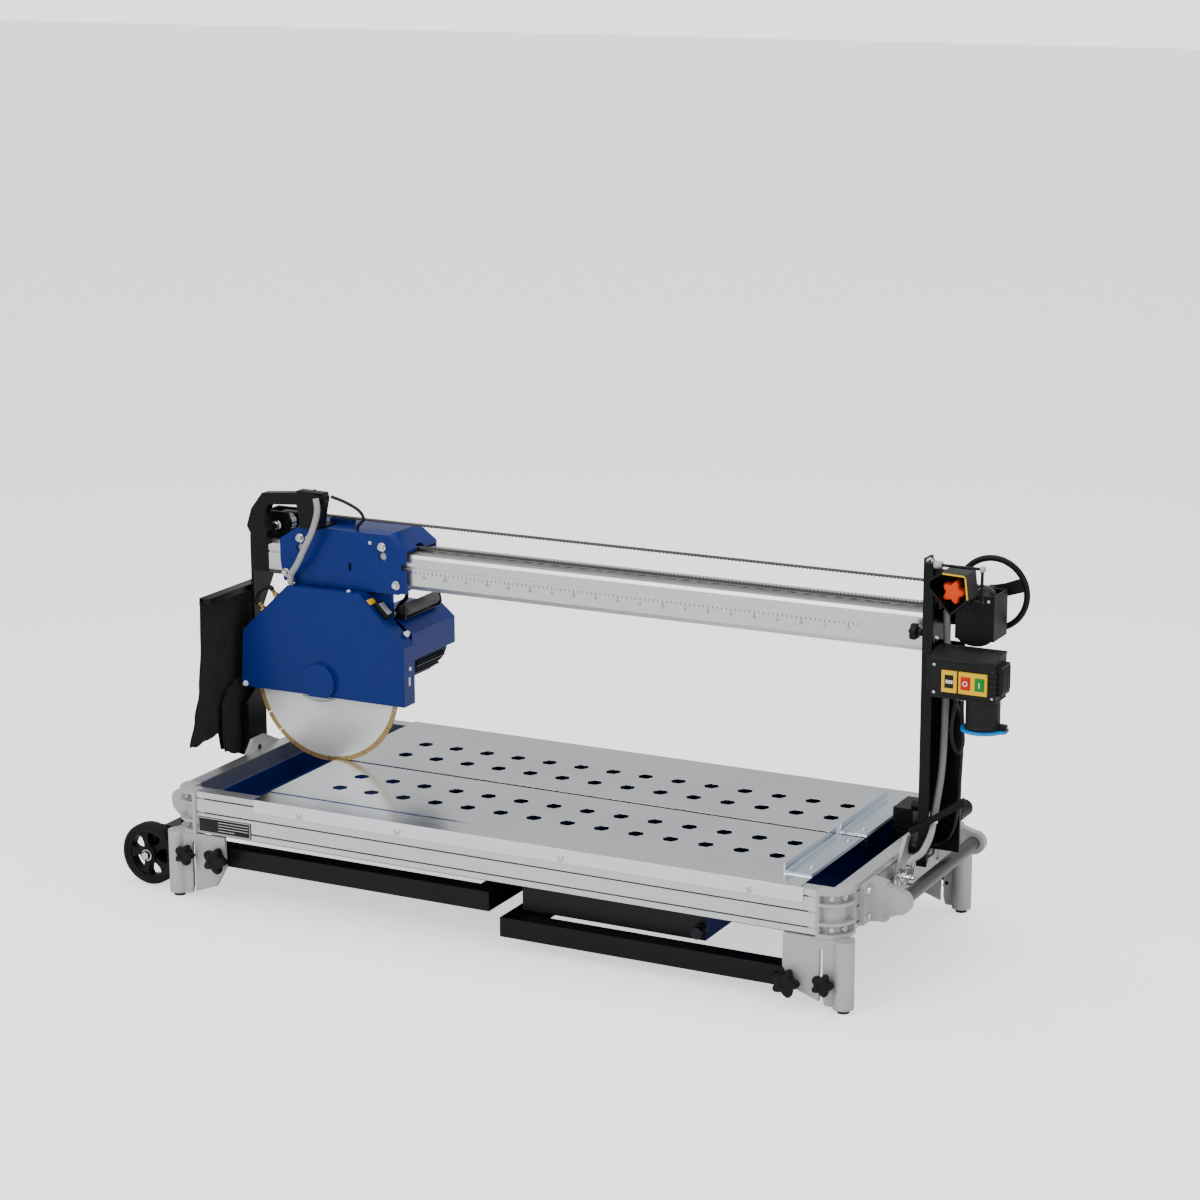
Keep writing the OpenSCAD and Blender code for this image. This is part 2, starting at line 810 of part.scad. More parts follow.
box_y = -50;
module switch_box() {
  placed() {
    color("dimgray") {
      difference() {
        union() {
          // body with a sloped roof
          yzplate([[box_y, T + 322], [8, T + 322], [8, T + 408], [-30, T + 408], [box_y, T + 396]],
            806, 936);
          bar(936 - eps, 946, box_y + 6, 2, T + 334, T + 392);
          bar(rx + 20.2, 806 + eps, -44, 4, T + 330, T + 400);
          for (z = [T + 332 : 10 : T + 388])
            bar(922, 938, box_y - 2, box_y + eps, z, z + 5);
          bar(846, 900, box_y - 2, box_y + eps, T + 384, T + 389);
          // socket below
          translate([902, -20, T + 266])
            cylinder(h = 57, d = 66);
        }
        translate([902, -20, T + 265])
          cylinder(h = 45, d = 56);
        // wells for the two buttons
        bar(868.6, 887.4, box_y - 3, box_y + 12, T + 342.6, T + 367.4);
        bar(896.6, 915.4, box_y - 3, box_y + 12, T + 342.6, T + 367.4);
      }
      // hinge ear of the cap
      difference() {
        union() {
          bar(931, 950, -26, -14, T + 266, T + 274);
          bar(936.2, 950, -26, -14, T + 257.6, T + 266 + eps);
        }
        ycyl(947.5, -27, -13, T + 260.7, 5 + 2 * run_gap);
      }
    }
  }
}

module switch_plate() {
  placed() {
    color("gold")
      difference() {
        union() {
          bar(830, 860, box_y - 5.2, box_y - 0.2, T + 334, T + 376);
          bar(864, 920, box_y - 5.2, box_y - 0.2, T + 334, T + 376);
        }
        bar(868.6, 887.4, box_y - 6, box_y + 1, T + 342.6, T + 367.4);
        bar(896.6, 915.4, box_y - 6, box_y + 1, T + 342.6, T + 367.4);
        bar(836, 854, box_y - 6, box_y - 3.6, T + 342, T + 368);
      }
  }
}

module button(x) {
  bar(x, x + 18, box_y - 8, box_y + 6, T + 343, T + 367);
}
module stop_button() {
  placed() {
    color("red")
      button(869);
  }
}
module start_button() {
  placed() {
    color("green")
      button(897);
  }
}

module socket_cap() {
  placed() {
    color("deepskyblue") {
      difference() {
        union() {
          translate([902, -20, T + 258])
            cylinder(h = 5.4, d = 84);
          bar(930, 950, -34, -6, T + 258, T + 263.4);
        }
        bar(935.4, 951, -26.8, -13.2, T + 257, T + 264);
      }
      ycyl(947.5, -34, -6, T + 260.7, 5);
    }
  }
}

module knob_guard() {
  placed() {
    y0 = -62;
    y1 = -8;
    cx = 846;
    cz = T + 526;
    color("black") {
      // diamond box round the brake knob
      translate([0, y1, 0])
        rotate([90, 0, 0])
          linear_extrude(y1 - y0)
            difference() {
              polygon([[cx - 46, cz + 22], [cx - 20, cz + 40], [cx + 30, cz + 38], [cx + 36, cz - 10],
                [cx, cz - 42], [cx - 46, cz + 8]]);
              polygon([[cx - 42, cz + 20], [cx - 18, cz + 36], [cx + 26, cz + 34], [cx + 32, cz - 8],
                [cx, cz - 37], [cx - 42, cz + 10]]);
            }
      // back plate joined to the mast
      difference() {
        union() {
          xzplate([[cx - 44, cz + 21], [cx - 19, cz + 38], [cx + 28, cz + 36], [cx + 34, cz - 9],
            [cx, cz - 40], [cx - 44, cz + 9]], y1 - 4, y1);
          bar(rx + post_t + 0.2, cx - 30, y1 - 4, y1, T + 500, T + 560);
        }
        ycyl(cx, y1 - 6, y1 + 1, cz, stud_d);
      }
      // wire bail in front
      xcyl(rx + 12, 904, -42, T + 575, 6);
      ycyl(rx + 14, -45, -18, T + 575, 6);
      translate([901, -42, T + 510])
        cylinder(h = 65, d = 6);
      xcyl(868, 904, -42, T + 512, 6);
    }
  }
}

module brake_knob() {
  placed() {
    color("orangered")
      translate([846, -24, T + 526])
        star(48, 26, 24);
  }
}

module mast_knob() {
  placed() {
    color("black")
      translate([rx - 14, mast_knob_y, T + 430])
        rotate([0, 0, -90])
          star(34, 16, 18);
  }
}

// corrugated conduits and leads clipped down the right mast
module mast_conduit() {
  placed() {
    color("gray")
      hose(conduit_way, 8, 6, 12, [0, 1, 0]);
    color("black") {
      hose(lead_way, 4, 6, 8, [0, 1, 0]);
      hose(loop_way, 4, 6, 8, [0, 1, 0]);
    }
  }
}

module splash_curtain() {
  placed() {
    // the lowest corner is cut short so that it clears the axle at full tilt
    color("black")
      yzplate([[-128, T + 350], [-136, T + 250], [-152, T + 150], [-192, T + 50], [-179, T + 34],
        [-130, T + 42], [-76, T + 48], [-66, T + 2], [20, T - 20], [84, T - 40], [94, T + 348]], -804.3, -800.3);
  }
}

// ---- saw head ------------------------------------------------------------

hood_y1 = 134;
module carriage_hood() {
  placed() {
    t = 5;
    x0 = head_x - 113;
    z0 = T + 380;
    color("navy") {
      difference() {
        xzplate([[x0, T + 424], [x0, T + 470], [x0 + 50, carr_top], [x0 + 266, carr_top],
          [x0 + 308, T + 472], [x0 + 308, z0], [x0 + 8, z0]], 4, 10);
        for (x = [head_x - 62, head_x + 139]) {
          ycyl(x, 3, 11, T + 476, 10);
          ycyl(x, 3, 11, T + 455, 20);
        }
        bar(head_x + 56, head_x + 63, 3, 11, T + 418, T + 434);
        // notch at the ruler groove
        bar(x0 + 296, x0 + 310, 3, 11, T + 430, T + 442);
      }
      // roof over the beam, sloped at both ends
      difference() {
        xzplate([[x0 + 4, T + 468], [x0 + 50, carr_top], [x0 + 266, carr_top], [x0 + 308, T + 472],
          [x0 + 308, T + 466], [x0 + 264, carr_top - t], [x0 + 52, carr_top - t], [x0 + 4, T + 462]],
          10 - eps, hood_y1);
        // opening for the clamp of the belt
        bar(head_x - 20, head_x + 30, beam_mid - 12, beam_mid + 12, T + 480, T + 510);
        // ways for the lower belt run through both slopes
        bar(x0 - 1, x0 + 320, beam_mid - 12, beam_mid + 12, T + 460, T + 476);
      }
      xzplate([[x0, T + 372], [x0, T + 470], [x0 + 50, carr_top], [x0 + 266, carr_top], [x0 + 308, T + 472],
        [x0 + 308, T + 372]], hood_y1 - 6, hood_y1);
      // floor under the beam that carries the head
      bar(x0 + 20, x0 + 290, 4, hood_y1, T + 377, T + 382);
      // neck down to the motor plate
      bar(head_x - 60, head_x + 150, guard_t / 2, 30, T + 230, T + 378);
    }
    color("dimgray")
      // belt clamp
      bar(head_x - 20 - eps, head_x + 30 + eps, beam_mid - 12 - eps, beam_mid + 12 + eps,
        T + 490, belt_z - 4.4);
  }
}

module carriage_bolts() {
  placed() {
    color("silver") {
      for (x = [head_x - 62, head_x + 139]) {
        ycyl(x, -2, 30, T + 476, 8);
        ycyl(x, -3, 4 - eps, T + 476, 17);
      }
      for (p = [[head_x - 100, T + 397], [head_x + 171, T + 397]])
        y_screw(p[0], 4, p[1], 17, 6);
      for (p = [[head_x - 45, T + 478], [head_x + 110, T + 482]])
        y_screw(p[0], 4, p[1], 9, 2);
    }
  }
}

module roller(x) {
  color("gainsboro")
    difference() {
      ycyl(x, 11, 29, T + 476, 27.6);
      ycyl(x, 10, 30, T + 476, 8 + 2 * run_gap);
    }
}
module roller_left() {
  placed() {
    roller(head_x - 62);
  }
}
module roller_right() {
  placed() {
    roller(head_x + 139);
  }
}

guard_half = 202;
module guard_outline(k) {
  polygon([[head_x - guard_half + k, T + 143 - k], [head_x - guard_half + 8 + k, T + 268],
    [head_x - 80 + k * 0.4, T + 376 - k], [head_x + 97 - k * 0.4, T + 376 - k],
    [head_x + guard_half - k, T + 270 - k * 0.4], [head_x + guard_half - k, T + 143 - k]]);
}

module blade_guard() {
  placed() {
    g = guard_t / 2;
    color("navy")
      difference() {
        union() {
          translate([0, g, 0])
            rotate([90, 0, 0])
              linear_extrude(guard_t)
                guard_outline(0);
          // flange cover on the front plate
          ycyl(head_x - 4, -g - 10, -g + eps, T + 176, 78);
        }
        translate([0, g - 3, 0])
          rotate([90, 0, 0])
            linear_extrude(guard_t - 6)
              guard_outline(3);
        bar(head_x - 60, head_x + 60, -g - 12, g - 3, T + 120, T + 143);
        ycyl(head_x, -g - 6, -g + 4, bz, 64);
        ycyl(head_x, g - 4, g + 1, bz, 40);
        // the cover stops at the guard's lower edge
        bar(head_x - 70, head_x + 70, -g - 12, -g, T + 100, T + 143);
      }
  }
}

module blade() {
  placed() {
    color("white")
      difference() {
        union() {
          ycyl(head_x, -blade_t / 2 + 0.4, blade_t / 2 - 0.4, bz, blade_d - 20);
          // rim segments
          difference() {
            ycyl(head_x, -blade_t / 2, blade_t / 2, bz, blade_d);
            ycyl(head_x, -blade_t, blade_t, bz, blade_d - 20.5);
            for (a = [0 : 15 : 359])
              translate([head_x, 0, bz])
                rotate([0, a, 0])
                  bar(blade_d / 2 - 12, blade_d / 2 + 1, -3, 3, -0.9, 0.9);
          }
        }
        ycyl(head_x, -5, 5, bz, bore_d);
      }
    color("gray") {
      // flanges and arbor
      ycyl(head_x, -7, -blade_t / 2 + 0.4 + eps, bz, 56);
      ycyl(head_x, blade_t / 2 - 0.4 - eps, 7, bz, 56);
      ycyl(head_x, -16, 12, bz, bore_d);
      ycyl(head_x, 10, 58, bz, 24);
    }
  }
}

motor_x = head_x + 116;
motor_z = T + 232;
module motor() {
  placed() {
    color("dimgray")
      difference() {
        union() {
          ycyl(motor_x, 66, 196, motor_z, 116);
          for (i = [0 : 7])
            rotate([0, 0, 0])
              translate([motor_x, 0, motor_z])
                rotate([0, i * 22.5, 0])
                  bar(-66, 66, 74, 190, -2, 2);
          ycyl(motor_x, 30.2, 68, motor_z, 90);
          // drive case across to the arbor
          xzplate([[head_x - 40, bz - 36], [head_x - 46, bz + 20], [motor_x - 40, motor_z + 44],
            [motor_x + 40, motor_z + 44], [motor_x + 48, motor_z - 30], [head_x + 34, bz - 40]], 30.2, 62);
        }
        ycyl(head_x, 29, 63, bz, 24 + 2 * run_gap);
      }
  }
}

module motor_cover() {
  placed() {
    x0 = motor_x - 70;
    x1 = motor_x + 74;
    color("navy")
      difference() {
        xzplate([[x0, motor_z + 30], [x0, motor_z + 60], [x0 + 26, motor_z + 84], [x1 - 34, motor_z + 84],
          [x1, motor_z + 56], [x1, motor_z - 2]], 34, 214);
        xzplate([[x0 + 3, motor_z - 9], [x0 + 3, motor_z + 58], [x0 + 27, motor_z + 81],
          [x1 - 35, motor_z + 81], [x1 - 3, motor_z + 54], [x1 - 3, motor_z - 9]], 30, 211);
      }
  }
}

module head_grip() {
  placed() {
    gx = head_x + 164;
    gz = T + 334;
    color("black") {
      ycyl(gx, 46, 176, gz, 26);
      ycyl(gx, 36, 186, gz, 12);
      for (y = [34, 180])
        xzplate([[gx - 9, gz + 10], [gx + 9, gz + 10], [gx + 12, gz - 8], [motor_x + 56, motor_z + 84.3],
          [motor_x + 30, motor_z + 84.3], [gx - 12, gz - 8]], y, y + 6);
      bar(motor_x + 20, motor_x + 56, 34, 186, motor_z + 84.2, motor_z + 87.2);
    }
  }
}

// arched arm that carries the hoses over the belt
module hose_yoke() {
  placed() {
    y0 = -12;
    y1 = 12;
    color("black") {
      xzplate([[-716, T + 568], [-744, T + 532], [-756, T + 494], [-736, T + 456], [-708, T + 456],
          [-706, T + 486], [-716, T + 514], [-700, T + 545], [-630, T + 550], [-622, carr_top],
        [-574, carr_top], [-568, T + 540], [-562, T + 566], [-566, T + 577], [-618, T + 577]], y0, y1);
      // foot on the roof
      bar(-628, -574, y0, 54, carr_top, carr_top + 4);
      // hose clamp
      bar(-584, -556, y0 - 6, y0 + 10, T + 562, T + 576);
    }
  }
}

module laser() {
  placed() {
    a = [head_x + 120, T + 350];
    color("black")
      translate([a[0], 0, a[1]])
        rotate([0, 45, 0])
          bar(0, 40, -10, 14, 2.2, 18);
  }
}

module water_fittings() {
  placed() {
    color("goldenrod")
      for (p = [[head_x - 118, T + 340], [head_x - 152, T + 308]])
        translate([p[0], 0, p[1]])
          rotate([0, -43.5, 0])
            union() {
              translate([0, 0, 0.4])
                cylinder(h = 9, d = 15, $fn = 6);
              translate([0, 0, 9])
                cylinder(h = 14, d = 10);
            }
  }
}

module head_conduit() {
  placed() {
    color("gray")
      hose(hose_way, 8, 6, 12, [0, 1, 0]);
    color("black") {
      hose(roof_way, 4, 5, 8, [0, 1, 0]);
      // leads down to the motor
      hose(motor_way_a, 5, 4, 8, [0, 1, 0]);
      hose(motor_way_b, 5, 4, 8, [0, 1, 0]);
    }
  }
}

// ---- legs, wheels, knobs -------------------------------------------------

// U-shaped leg frame lying along +X from its pivot
module leg_frame(px, pz) {
  h = leg_tube / 2;
  y1 = leg_y1;
  w = 2.5;
  color("black")
    difference() {
      union() {
        for (s = [0, 1])
          mirror([0, s, 0])
            bar(px - h, px + leg_len - 8, y1 - leg_tube, y1, pz - h, pz + h);
        bar(px + leg_len - 8 - leg_tube, px + leg_len - 8, -y1, y1, pz - h, pz + h);
      }
      for (s = [0, 1])
        mirror([0, s, 0])
          bar(px - h + w, px + leg_len - 8 - w, y1 - leg_tube + w, y1 - w, pz - h + w, pz + h - w);
      bar(px + leg_len - 8 - leg_tube + w, px + leg_len - 8 - w, -y1 + w, y1 - w, pz - h + w, pz + h - w);
      for (s = [0, 1])
        mirror([0, s, 0])
          ycyl(px, y1 - 4, y1 + 1, pz, stud_d);
    }
}
module leg_frame_left() {
  placed() {
    leg_frame(-leg_px, leg_zl);
  }
}
module leg_frame_right() {
  placed() {
    mirror([1, 0, 0])
      leg_frame(-leg_px, leg_zr);
  }
}

module wheel() {
  color("black")
    difference() {
      union() {
        difference() {
          ycyl(0, 0, wheel_w, 0, wheel_d);
          ycyl(0, -1, 8, 0, wheel_d - 26);
          ycyl(0, wheel_w - 8, wheel_w + 1, 0, wheel_d - 26);
          for (i = [0 : 4])
            rotate([0, i * 72, 0])
              difference() {
                intersection() {
                  ycyl(0, -1, wheel_w + 1, 0, wheel_d - 30);
                  xzplate([[0, 0], [70, -34], [70, 34]], -1, wheel_w + 1);
                }
                ycyl(0, -2, wheel_w + 2, 0, 50);
              }
        }
        ycyl(0, 0, wheel_w, 0, 36);
      }
      ycyl(0, -1, wheel_w + 1, 0, axle_d);
    }
}
module wheel_front() {
  placed() {
    translate([wheel_x, -wheel_y, wheel_z])
      wheel();
  }
}
module wheel_back() {
  placed() {
    translate([wheel_x, wheel_y - wheel_w, wheel_z])
      wheel();
  }
}

module knob_at(x, z, side, d, l, sd = stud_d) {
  color("black")
    translate([x, 0, z])
      mirror([0, side > 0 ? 1 : 0, 0])
        translate([0, -fy - 8.3, 0])
          star(d, 20, l, sd);
}
pivot_stud = 8.3 + 16;
lock_stud = 8.3 + 9;
lock_x = 715;
lock_d = 8;
lock_zl = T - 136;
lock_zr = T - 178;
module pivot_knob_fl() {
  placed() {
    knob_at(-leg_px, leg_zl, -1, 46, pivot_stud);
  }
}
module pivot_knob_bl() {
  placed() {
    knob_at(-leg_px, leg_zl, 1, 46, pivot_stud);
  }
}
module pivot_knob_fr() {
  placed() {
    knob_at(leg_px, leg_zr, -1, 46, pivot_stud);
  }
}
module pivot_knob_br() {
  placed() {
    knob_at(leg_px, leg_zr, 1, 46, pivot_stud);
  }
}
module lock_knob_fl() {
  placed() {
    knob_at(-lock_x, lock_zl, -1, 40, lock_stud, lock_d);
  }
}
module lock_knob_bl() {
  placed() {
    knob_at(-lock_x, lock_zl, 1, 40, lock_stud, lock_d);
  }
}
module lock_knob_fr() {
  placed() {
    knob_at(lock_x, lock_zr, -1, 40, lock_stud, lock_d);
  }
}
module lock_knob_br() {
  placed() {
    knob_at(lock_x, lock_zr, 1, 40, lock_stud, lock_d);
  }
}

long_rails();
end_rails();
end_castings();
leg_brackets();
leg_feet();
carry_bar();
water_tray();
table_halves();
fences();
frame_screws();
rating_plate();
mast_feet();
wheel_axle();
pump();
tap_body();
beam();
mast_left();
mast_right();
idler_block();
drive_housing();
drive_belt();
switch_box();
switch_plate();
knob_guard();
mast_conduit();
splash_curtain();
carriage_hood();
carriage_bolts();
blade_guard();
motor();
motor_cover();
head_grip();
hose_yoke();
laser();
water_fittings();
head_conduit();
blade();
handwheel();
idler_pulley();
roller_left();
roller_right();
leg_frame_left();
leg_frame_right();
wheel_front();
wheel_back();
pivot_knob_fl();
pivot_knob_bl();
pivot_knob_fr();
pivot_knob_br();
lock_knob_fl();
lock_knob_bl();
lock_knob_fr();
lock_knob_br();
mast_knob();
brake_knob();
stop_button();
start_button();
socket_cap();
tap_lever();
strut_arm();
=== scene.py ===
import bpy
import bmesh
import json
from math import sin, cos, pi, radians
from mathutils import Vector, Matrix, noise


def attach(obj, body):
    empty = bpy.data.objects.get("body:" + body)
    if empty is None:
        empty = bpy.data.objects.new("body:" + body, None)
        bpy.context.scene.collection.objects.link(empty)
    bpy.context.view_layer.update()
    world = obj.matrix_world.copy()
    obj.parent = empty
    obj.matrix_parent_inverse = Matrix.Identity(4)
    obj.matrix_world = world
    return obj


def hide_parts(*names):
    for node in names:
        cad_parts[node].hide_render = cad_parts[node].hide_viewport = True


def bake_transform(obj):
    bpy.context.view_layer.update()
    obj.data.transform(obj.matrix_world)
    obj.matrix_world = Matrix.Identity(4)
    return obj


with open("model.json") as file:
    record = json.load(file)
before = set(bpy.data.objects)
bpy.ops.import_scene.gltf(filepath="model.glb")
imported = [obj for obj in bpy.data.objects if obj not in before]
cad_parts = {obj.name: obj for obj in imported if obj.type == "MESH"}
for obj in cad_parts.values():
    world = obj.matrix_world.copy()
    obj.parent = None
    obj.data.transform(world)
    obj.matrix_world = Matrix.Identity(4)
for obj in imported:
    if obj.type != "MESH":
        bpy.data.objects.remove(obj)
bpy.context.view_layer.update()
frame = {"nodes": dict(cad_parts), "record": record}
nodes = frame["nodes"]
print("saw: frame loaded,", len(nodes), "pieces")

# lengths below are in millimetres from the middle of the frame and the table level
datum = {"tableHeight": 234.0, "middleX": 23.0}


def at(x, y, z):
    return Vector(((x - datum["middleX"]) / 1000, y / 1000, (z + datum["tableHeight"]) / 1000))


# camera
camera = {
    "place": (2752.53, -5222.42, 1843.86),
    "azimuth": 27.1086, "elevation": 13.6533, "roll": -0.178,
    "lens": 90.231,
}


def placeCamera():
    az, el, roll = (radians(camera[k]) for k in ("azimuth", "elevation", "roll"))
    back = Vector((sin(az) * cos(el), -cos(az) * cos(el), sin(el)))
    flatRight = Vector((cos(az), sin(az), 0))
    flatUp = back.cross(flatRight)
    right = flatRight * cos(roll) + flatUp * sin(roll)
    up = flatUp * cos(roll) - flatRight * sin(roll)
    turn = Matrix((right, up, back)).transposed()
    data = bpy.data.cameras.new("sawCamera")
    data.lens = camera["lens"]
    data.sensor_width = 36
    data.clip_end = 60
    cam = bpy.data.objects.new("sawCamera", data)
    cam.matrix_world = Matrix.Translation(at(*camera["place"])) @ turn.to_4x4()
    bpy.context.scene.collection.objects.link(cam)
    bpy.context.scene.camera = cam


placeCamera()

# shared shader groups


def groupSockets(tree, ins, outs):
    for name, kind, value in ins:
        s = tree.interface.new_socket(name, in_out="INPUT", socket_type=kind)
        if value is not None:
            s.default_value = value
    for name, kind in outs:
        tree.interface.new_socket(name, in_out="OUTPUT", socket_type=kind)
    return tree.nodes.new("NodeGroupInput"), tree.nodes.new("NodeGroupOutput")


def mathNode(tree, op, a, b=None, clamp=False):
    n = tree.nodes.new("ShaderNodeMath")
    n.operation = op
    n.use_clamp = clamp
    for i, v in enumerate((a, b)):
        if v is None:
            continue
        if isinstance(v, (int, float)):
            n.inputs[i].default_value = v
        else:
            tree.links.new(v, n.inputs[i])
    return n.outputs[0]


def rangeNode(tree, value, a, b, c, d):
    n = tree.nodes.new("ShaderNodeMapRange")
    tree.links.new(value, n.inputs[0])
    for i, v in enumerate((a, b, c, d)):
        if isinstance(v, (int, float)):
            n.inputs[i + 1].default_value = v
        else:
            tree.links.new(v, n.inputs[i + 1])
    return n.outputs[0]


def makeGrainGroup():
    tree = bpy.data.node_groups.new("surfaceGrain", "ShaderNodeTree")
    gi, go = groupSockets(
        tree,
        [("Scale", "NodeSocketFloat", 300.0), ("Stretch", "NodeSocketVector", (1, 1, 1)),
         ("Cloud Scale", "NodeSocketFloat", 8.0), ("Cloud Share", "NodeSocketFloat", 0.4)],
        [("Mask", "NodeSocketFloat"), ("Height", "NodeSocketFloat")])
    coord = tree.nodes.new("ShaderNodeTexCoord")
    mul = tree.nodes.new("ShaderNodeVectorMath")
    mul.operation = "MULTIPLY"
    tree.links.new(coord.outputs["Object"], mul.inputs[0])
    tree.links.new(gi.outputs["Stretch"], mul.inputs[1])
    fine = tree.nodes.new("ShaderNodeTexNoise")
    fine.inputs["Detail"].default_value = 3
    fine.inputs["Roughness"].default_value = 0.6
    tree.links.new(mul.outputs[0], fine.inputs["Vector"])
    tree.links.new(gi.outputs["Scale"], fine.inputs["Scale"])
    cloud = tree.nodes.new("ShaderNodeTexNoise")
    cloud.inputs["Detail"].default_value = 4
    tree.links.new(coord.outputs["Object"], cloud.inputs["Vector"])
    tree.links.new(gi.outputs["Cloud Scale"], cloud.inputs["Scale"])
    mix = tree.nodes.new("ShaderNodeMix")
    tree.links.new(gi.outputs["Cloud Share"], mix.inputs[0])
    tree.links.new(fine.outputs["Fac"], mix.inputs[2])
    tree.links.new(cloud.outputs["Fac"], mix.inputs[3])
    mask = rangeNode(tree, mix.outputs[0], 0.3, 0.7, 0.0, 1.0)
    tree.links.new(mask, go.inputs["Mask"])
    tree.links.new(fine.outputs["Fac"], go.inputs["Height"])
    return tree


def makeWearGroup():
    tree = bpy.data.node_groups.new("edgeWear", "ShaderNodeTree")
    gi, go = groupSockets(
        tree,
        [("Edge Width", "NodeSocketFloat", 0.002), ("Break Up", "NodeSocketFloat", 90.0),
         ("Amount", "NodeSocketFloat", 0.6)],
        [("Mask", "NodeSocketFloat")])
    geo = tree.nodes.new("ShaderNodeNewGeometry")
    coord = tree.nodes.new("ShaderNodeTexCoord")
    soft = tree.nodes.new("ShaderNodeBevel")
    soft.samples = 4
    tree.links.new(gi.outputs["Edge Width"], soft.inputs["Radius"])
    dot = tree.nodes.new("ShaderNodeVectorMath")
    dot.operation = "DOT_PRODUCT"
    tree.links.new(soft.outputs[0], dot.inputs[0])
    tree.links.new(geo.outputs["Normal"], dot.inputs[1])
    breakUp = tree.nodes.new("ShaderNodeTexNoise")
    breakUp.inputs["Detail"].default_value = 5
    tree.links.new(coord.outputs["Object"], breakUp.inputs["Vector"])
    tree.links.new(gi.outputs["Break Up"], breakUp.inputs["Scale"])
    edge = rangeNode(tree, dot.outputs["Value"], 0.985, 0.80, 0.0, 1.0)
    spots = rangeNode(tree, breakUp.outputs["Fac"], 0.42, 0.62, 0.0, 1.0)
    both = mathNode(tree, "MULTIPLY", edge, spots)
    tree.links.new(mathNode(tree, "MULTIPLY", both, gi.outputs["Amount"], True), go.inputs["Mask"])
    return tree


def makeMarksGroup():
    tree = bpy.data.node_groups.new("handlingMarks", "ShaderNodeTree")
    gi, go = groupSockets(
        tree,
        [("Scale", "NodeSocketFloat", 40.0), ("Amount", "NodeSocketFloat", 0.3)],
        [("Mask", "NodeSocketFloat")])
    coord = tree.nodes.new("ShaderNodeTexCoord")
    warp = tree.nodes.new("ShaderNodeTexNoise")
    tree.links.new(coord.outputs["Object"], warp.inputs["Vector"])
    warp.inputs["Scale"].default_value = 6
    add = tree.nodes.new("ShaderNodeVectorMath")
    add.operation = "ADD"
    tree.links.new(coord.outputs["Object"], add.inputs[0])
    tree.links.new(warp.outputs["Color"], add.inputs[1])
    lines = tree.nodes.new("ShaderNodeTexVoronoi")
    lines.feature = "DISTANCE_TO_EDGE"
    tree.links.new(add.outputs[0], lines.inputs["Vector"])
    tree.links.new(gi.outputs["Scale"], lines.inputs["Scale"])
    thin = rangeNode(tree, lines.outputs["Distance"], 0.0, 0.02, 1.0, 0.0)
    tree.links.new(mathNode(tree, "MULTIPLY", thin, gi.outputs["Amount"], True), go.inputs["Mask"])
    return tree


grainGroup = makeGrainGroup()
wearGroup = makeWearGroup()
marksGroup = makeMarksGroup()


def placeGroup(tree, group, **values):
    n = tree.nodes.new("ShaderNodeGroup")
    n.node_tree = group
    for k, v in values.items():
        n.inputs[k.replace("_", " ")].default_value = v
    return n


def mixColour(tree, fac, a, b):
    n = tree.nodes.new("ShaderNodeMix")
    n.data_type = "RGBA"
    if isinstance(fac, (int, float)):
        n.inputs[0].default_value = fac
    else:
        tree.links.new(fac, n.inputs[0])
    for i, v in ((6, a), (7, b)):
        if isinstance(v, (tuple, list)):
            n.inputs[i].default_value = (*v[:3], 1)
        else:
            tree.links.new(v, n.inputs[i])
    return n.outputs[2]


def finish(name, base, second, rough, spread=0.08, metal=0.0, scale=300.0, stretch=(1, 1, 1),
           cloud=8.0, share=0.4, bump=0.05, depth=0.001, wear=0.0, wearColour=(0.6, 0.6, 0.62),
           edge=0.0016, marks=0.0, coat=0.0, sheen=0.0, specular=0.5, edgeRound=0.0, colourNode=None):
    mat = bpy.data.materials.new(name)
    mat.use_nodes = True
    tree = mat.node_tree
    shader = tree.nodes["Principled BSDF"]
    grain = placeGroup(tree, grainGroup, Scale=scale, Stretch=stretch, Cloud_Scale=cloud, Cloud_Share=share)
    colour = mixColour(tree, grain.outputs["Mask"], base, second)
    if colourNode:
        colour = colourNode(tree, colour)
    roughValue = rangeNode(tree, grain.outputs["Mask"], 0.0, 1.0, rough - spread, rough + spread)
    if marks:
        m = placeGroup(tree, marksGroup, Scale=22.0, Amount=marks)
        colour = mixColour(tree, m.outputs["Mask"], colour, wearColour)
    if wear:
        w = placeGroup(tree, wearGroup, Edge_Width=edge, Break_Up=90.0, Amount=wear)
        colour = mixColour(tree, w.outputs["Mask"], colour, wearColour)
    tree.links.new(colour, shader.inputs["Base Color"])
    tree.links.new(roughValue, shader.inputs["Roughness"])
    if metal:
        shader.inputs["Metallic"].default_value = metal
    shader.inputs["Coat Weight"].default_value = coat
    shader.inputs["Coat Roughness"].default_value = 0.12
    shader.inputs["Specular IOR Level"].default_value = specular
    if sheen:
        shader.inputs["Sheen Weight"].default_value = sheen
        shader.inputs["Sheen Roughness"].default_value = 0.6
    bumpNode = tree.nodes.new("ShaderNodeBump")
    bumpNode.inputs["Strength"].default_value = bump
    bumpNode.inputs["Distance"].default_value = depth
    tree.links.new(grain.outputs["Height"], bumpNode.inputs["Height"])
    if edgeRound:
        soft = tree.nodes.new("ShaderNodeBevel")
        soft.samples = 4
        soft.inputs["Radius"].default_value = edgeRound
        tree.links.new(soft.outputs[0], bumpNode.inputs["Normal"])
    tree.links.new(bumpNode.outputs[0], shader.inputs["Normal"])
    return mat


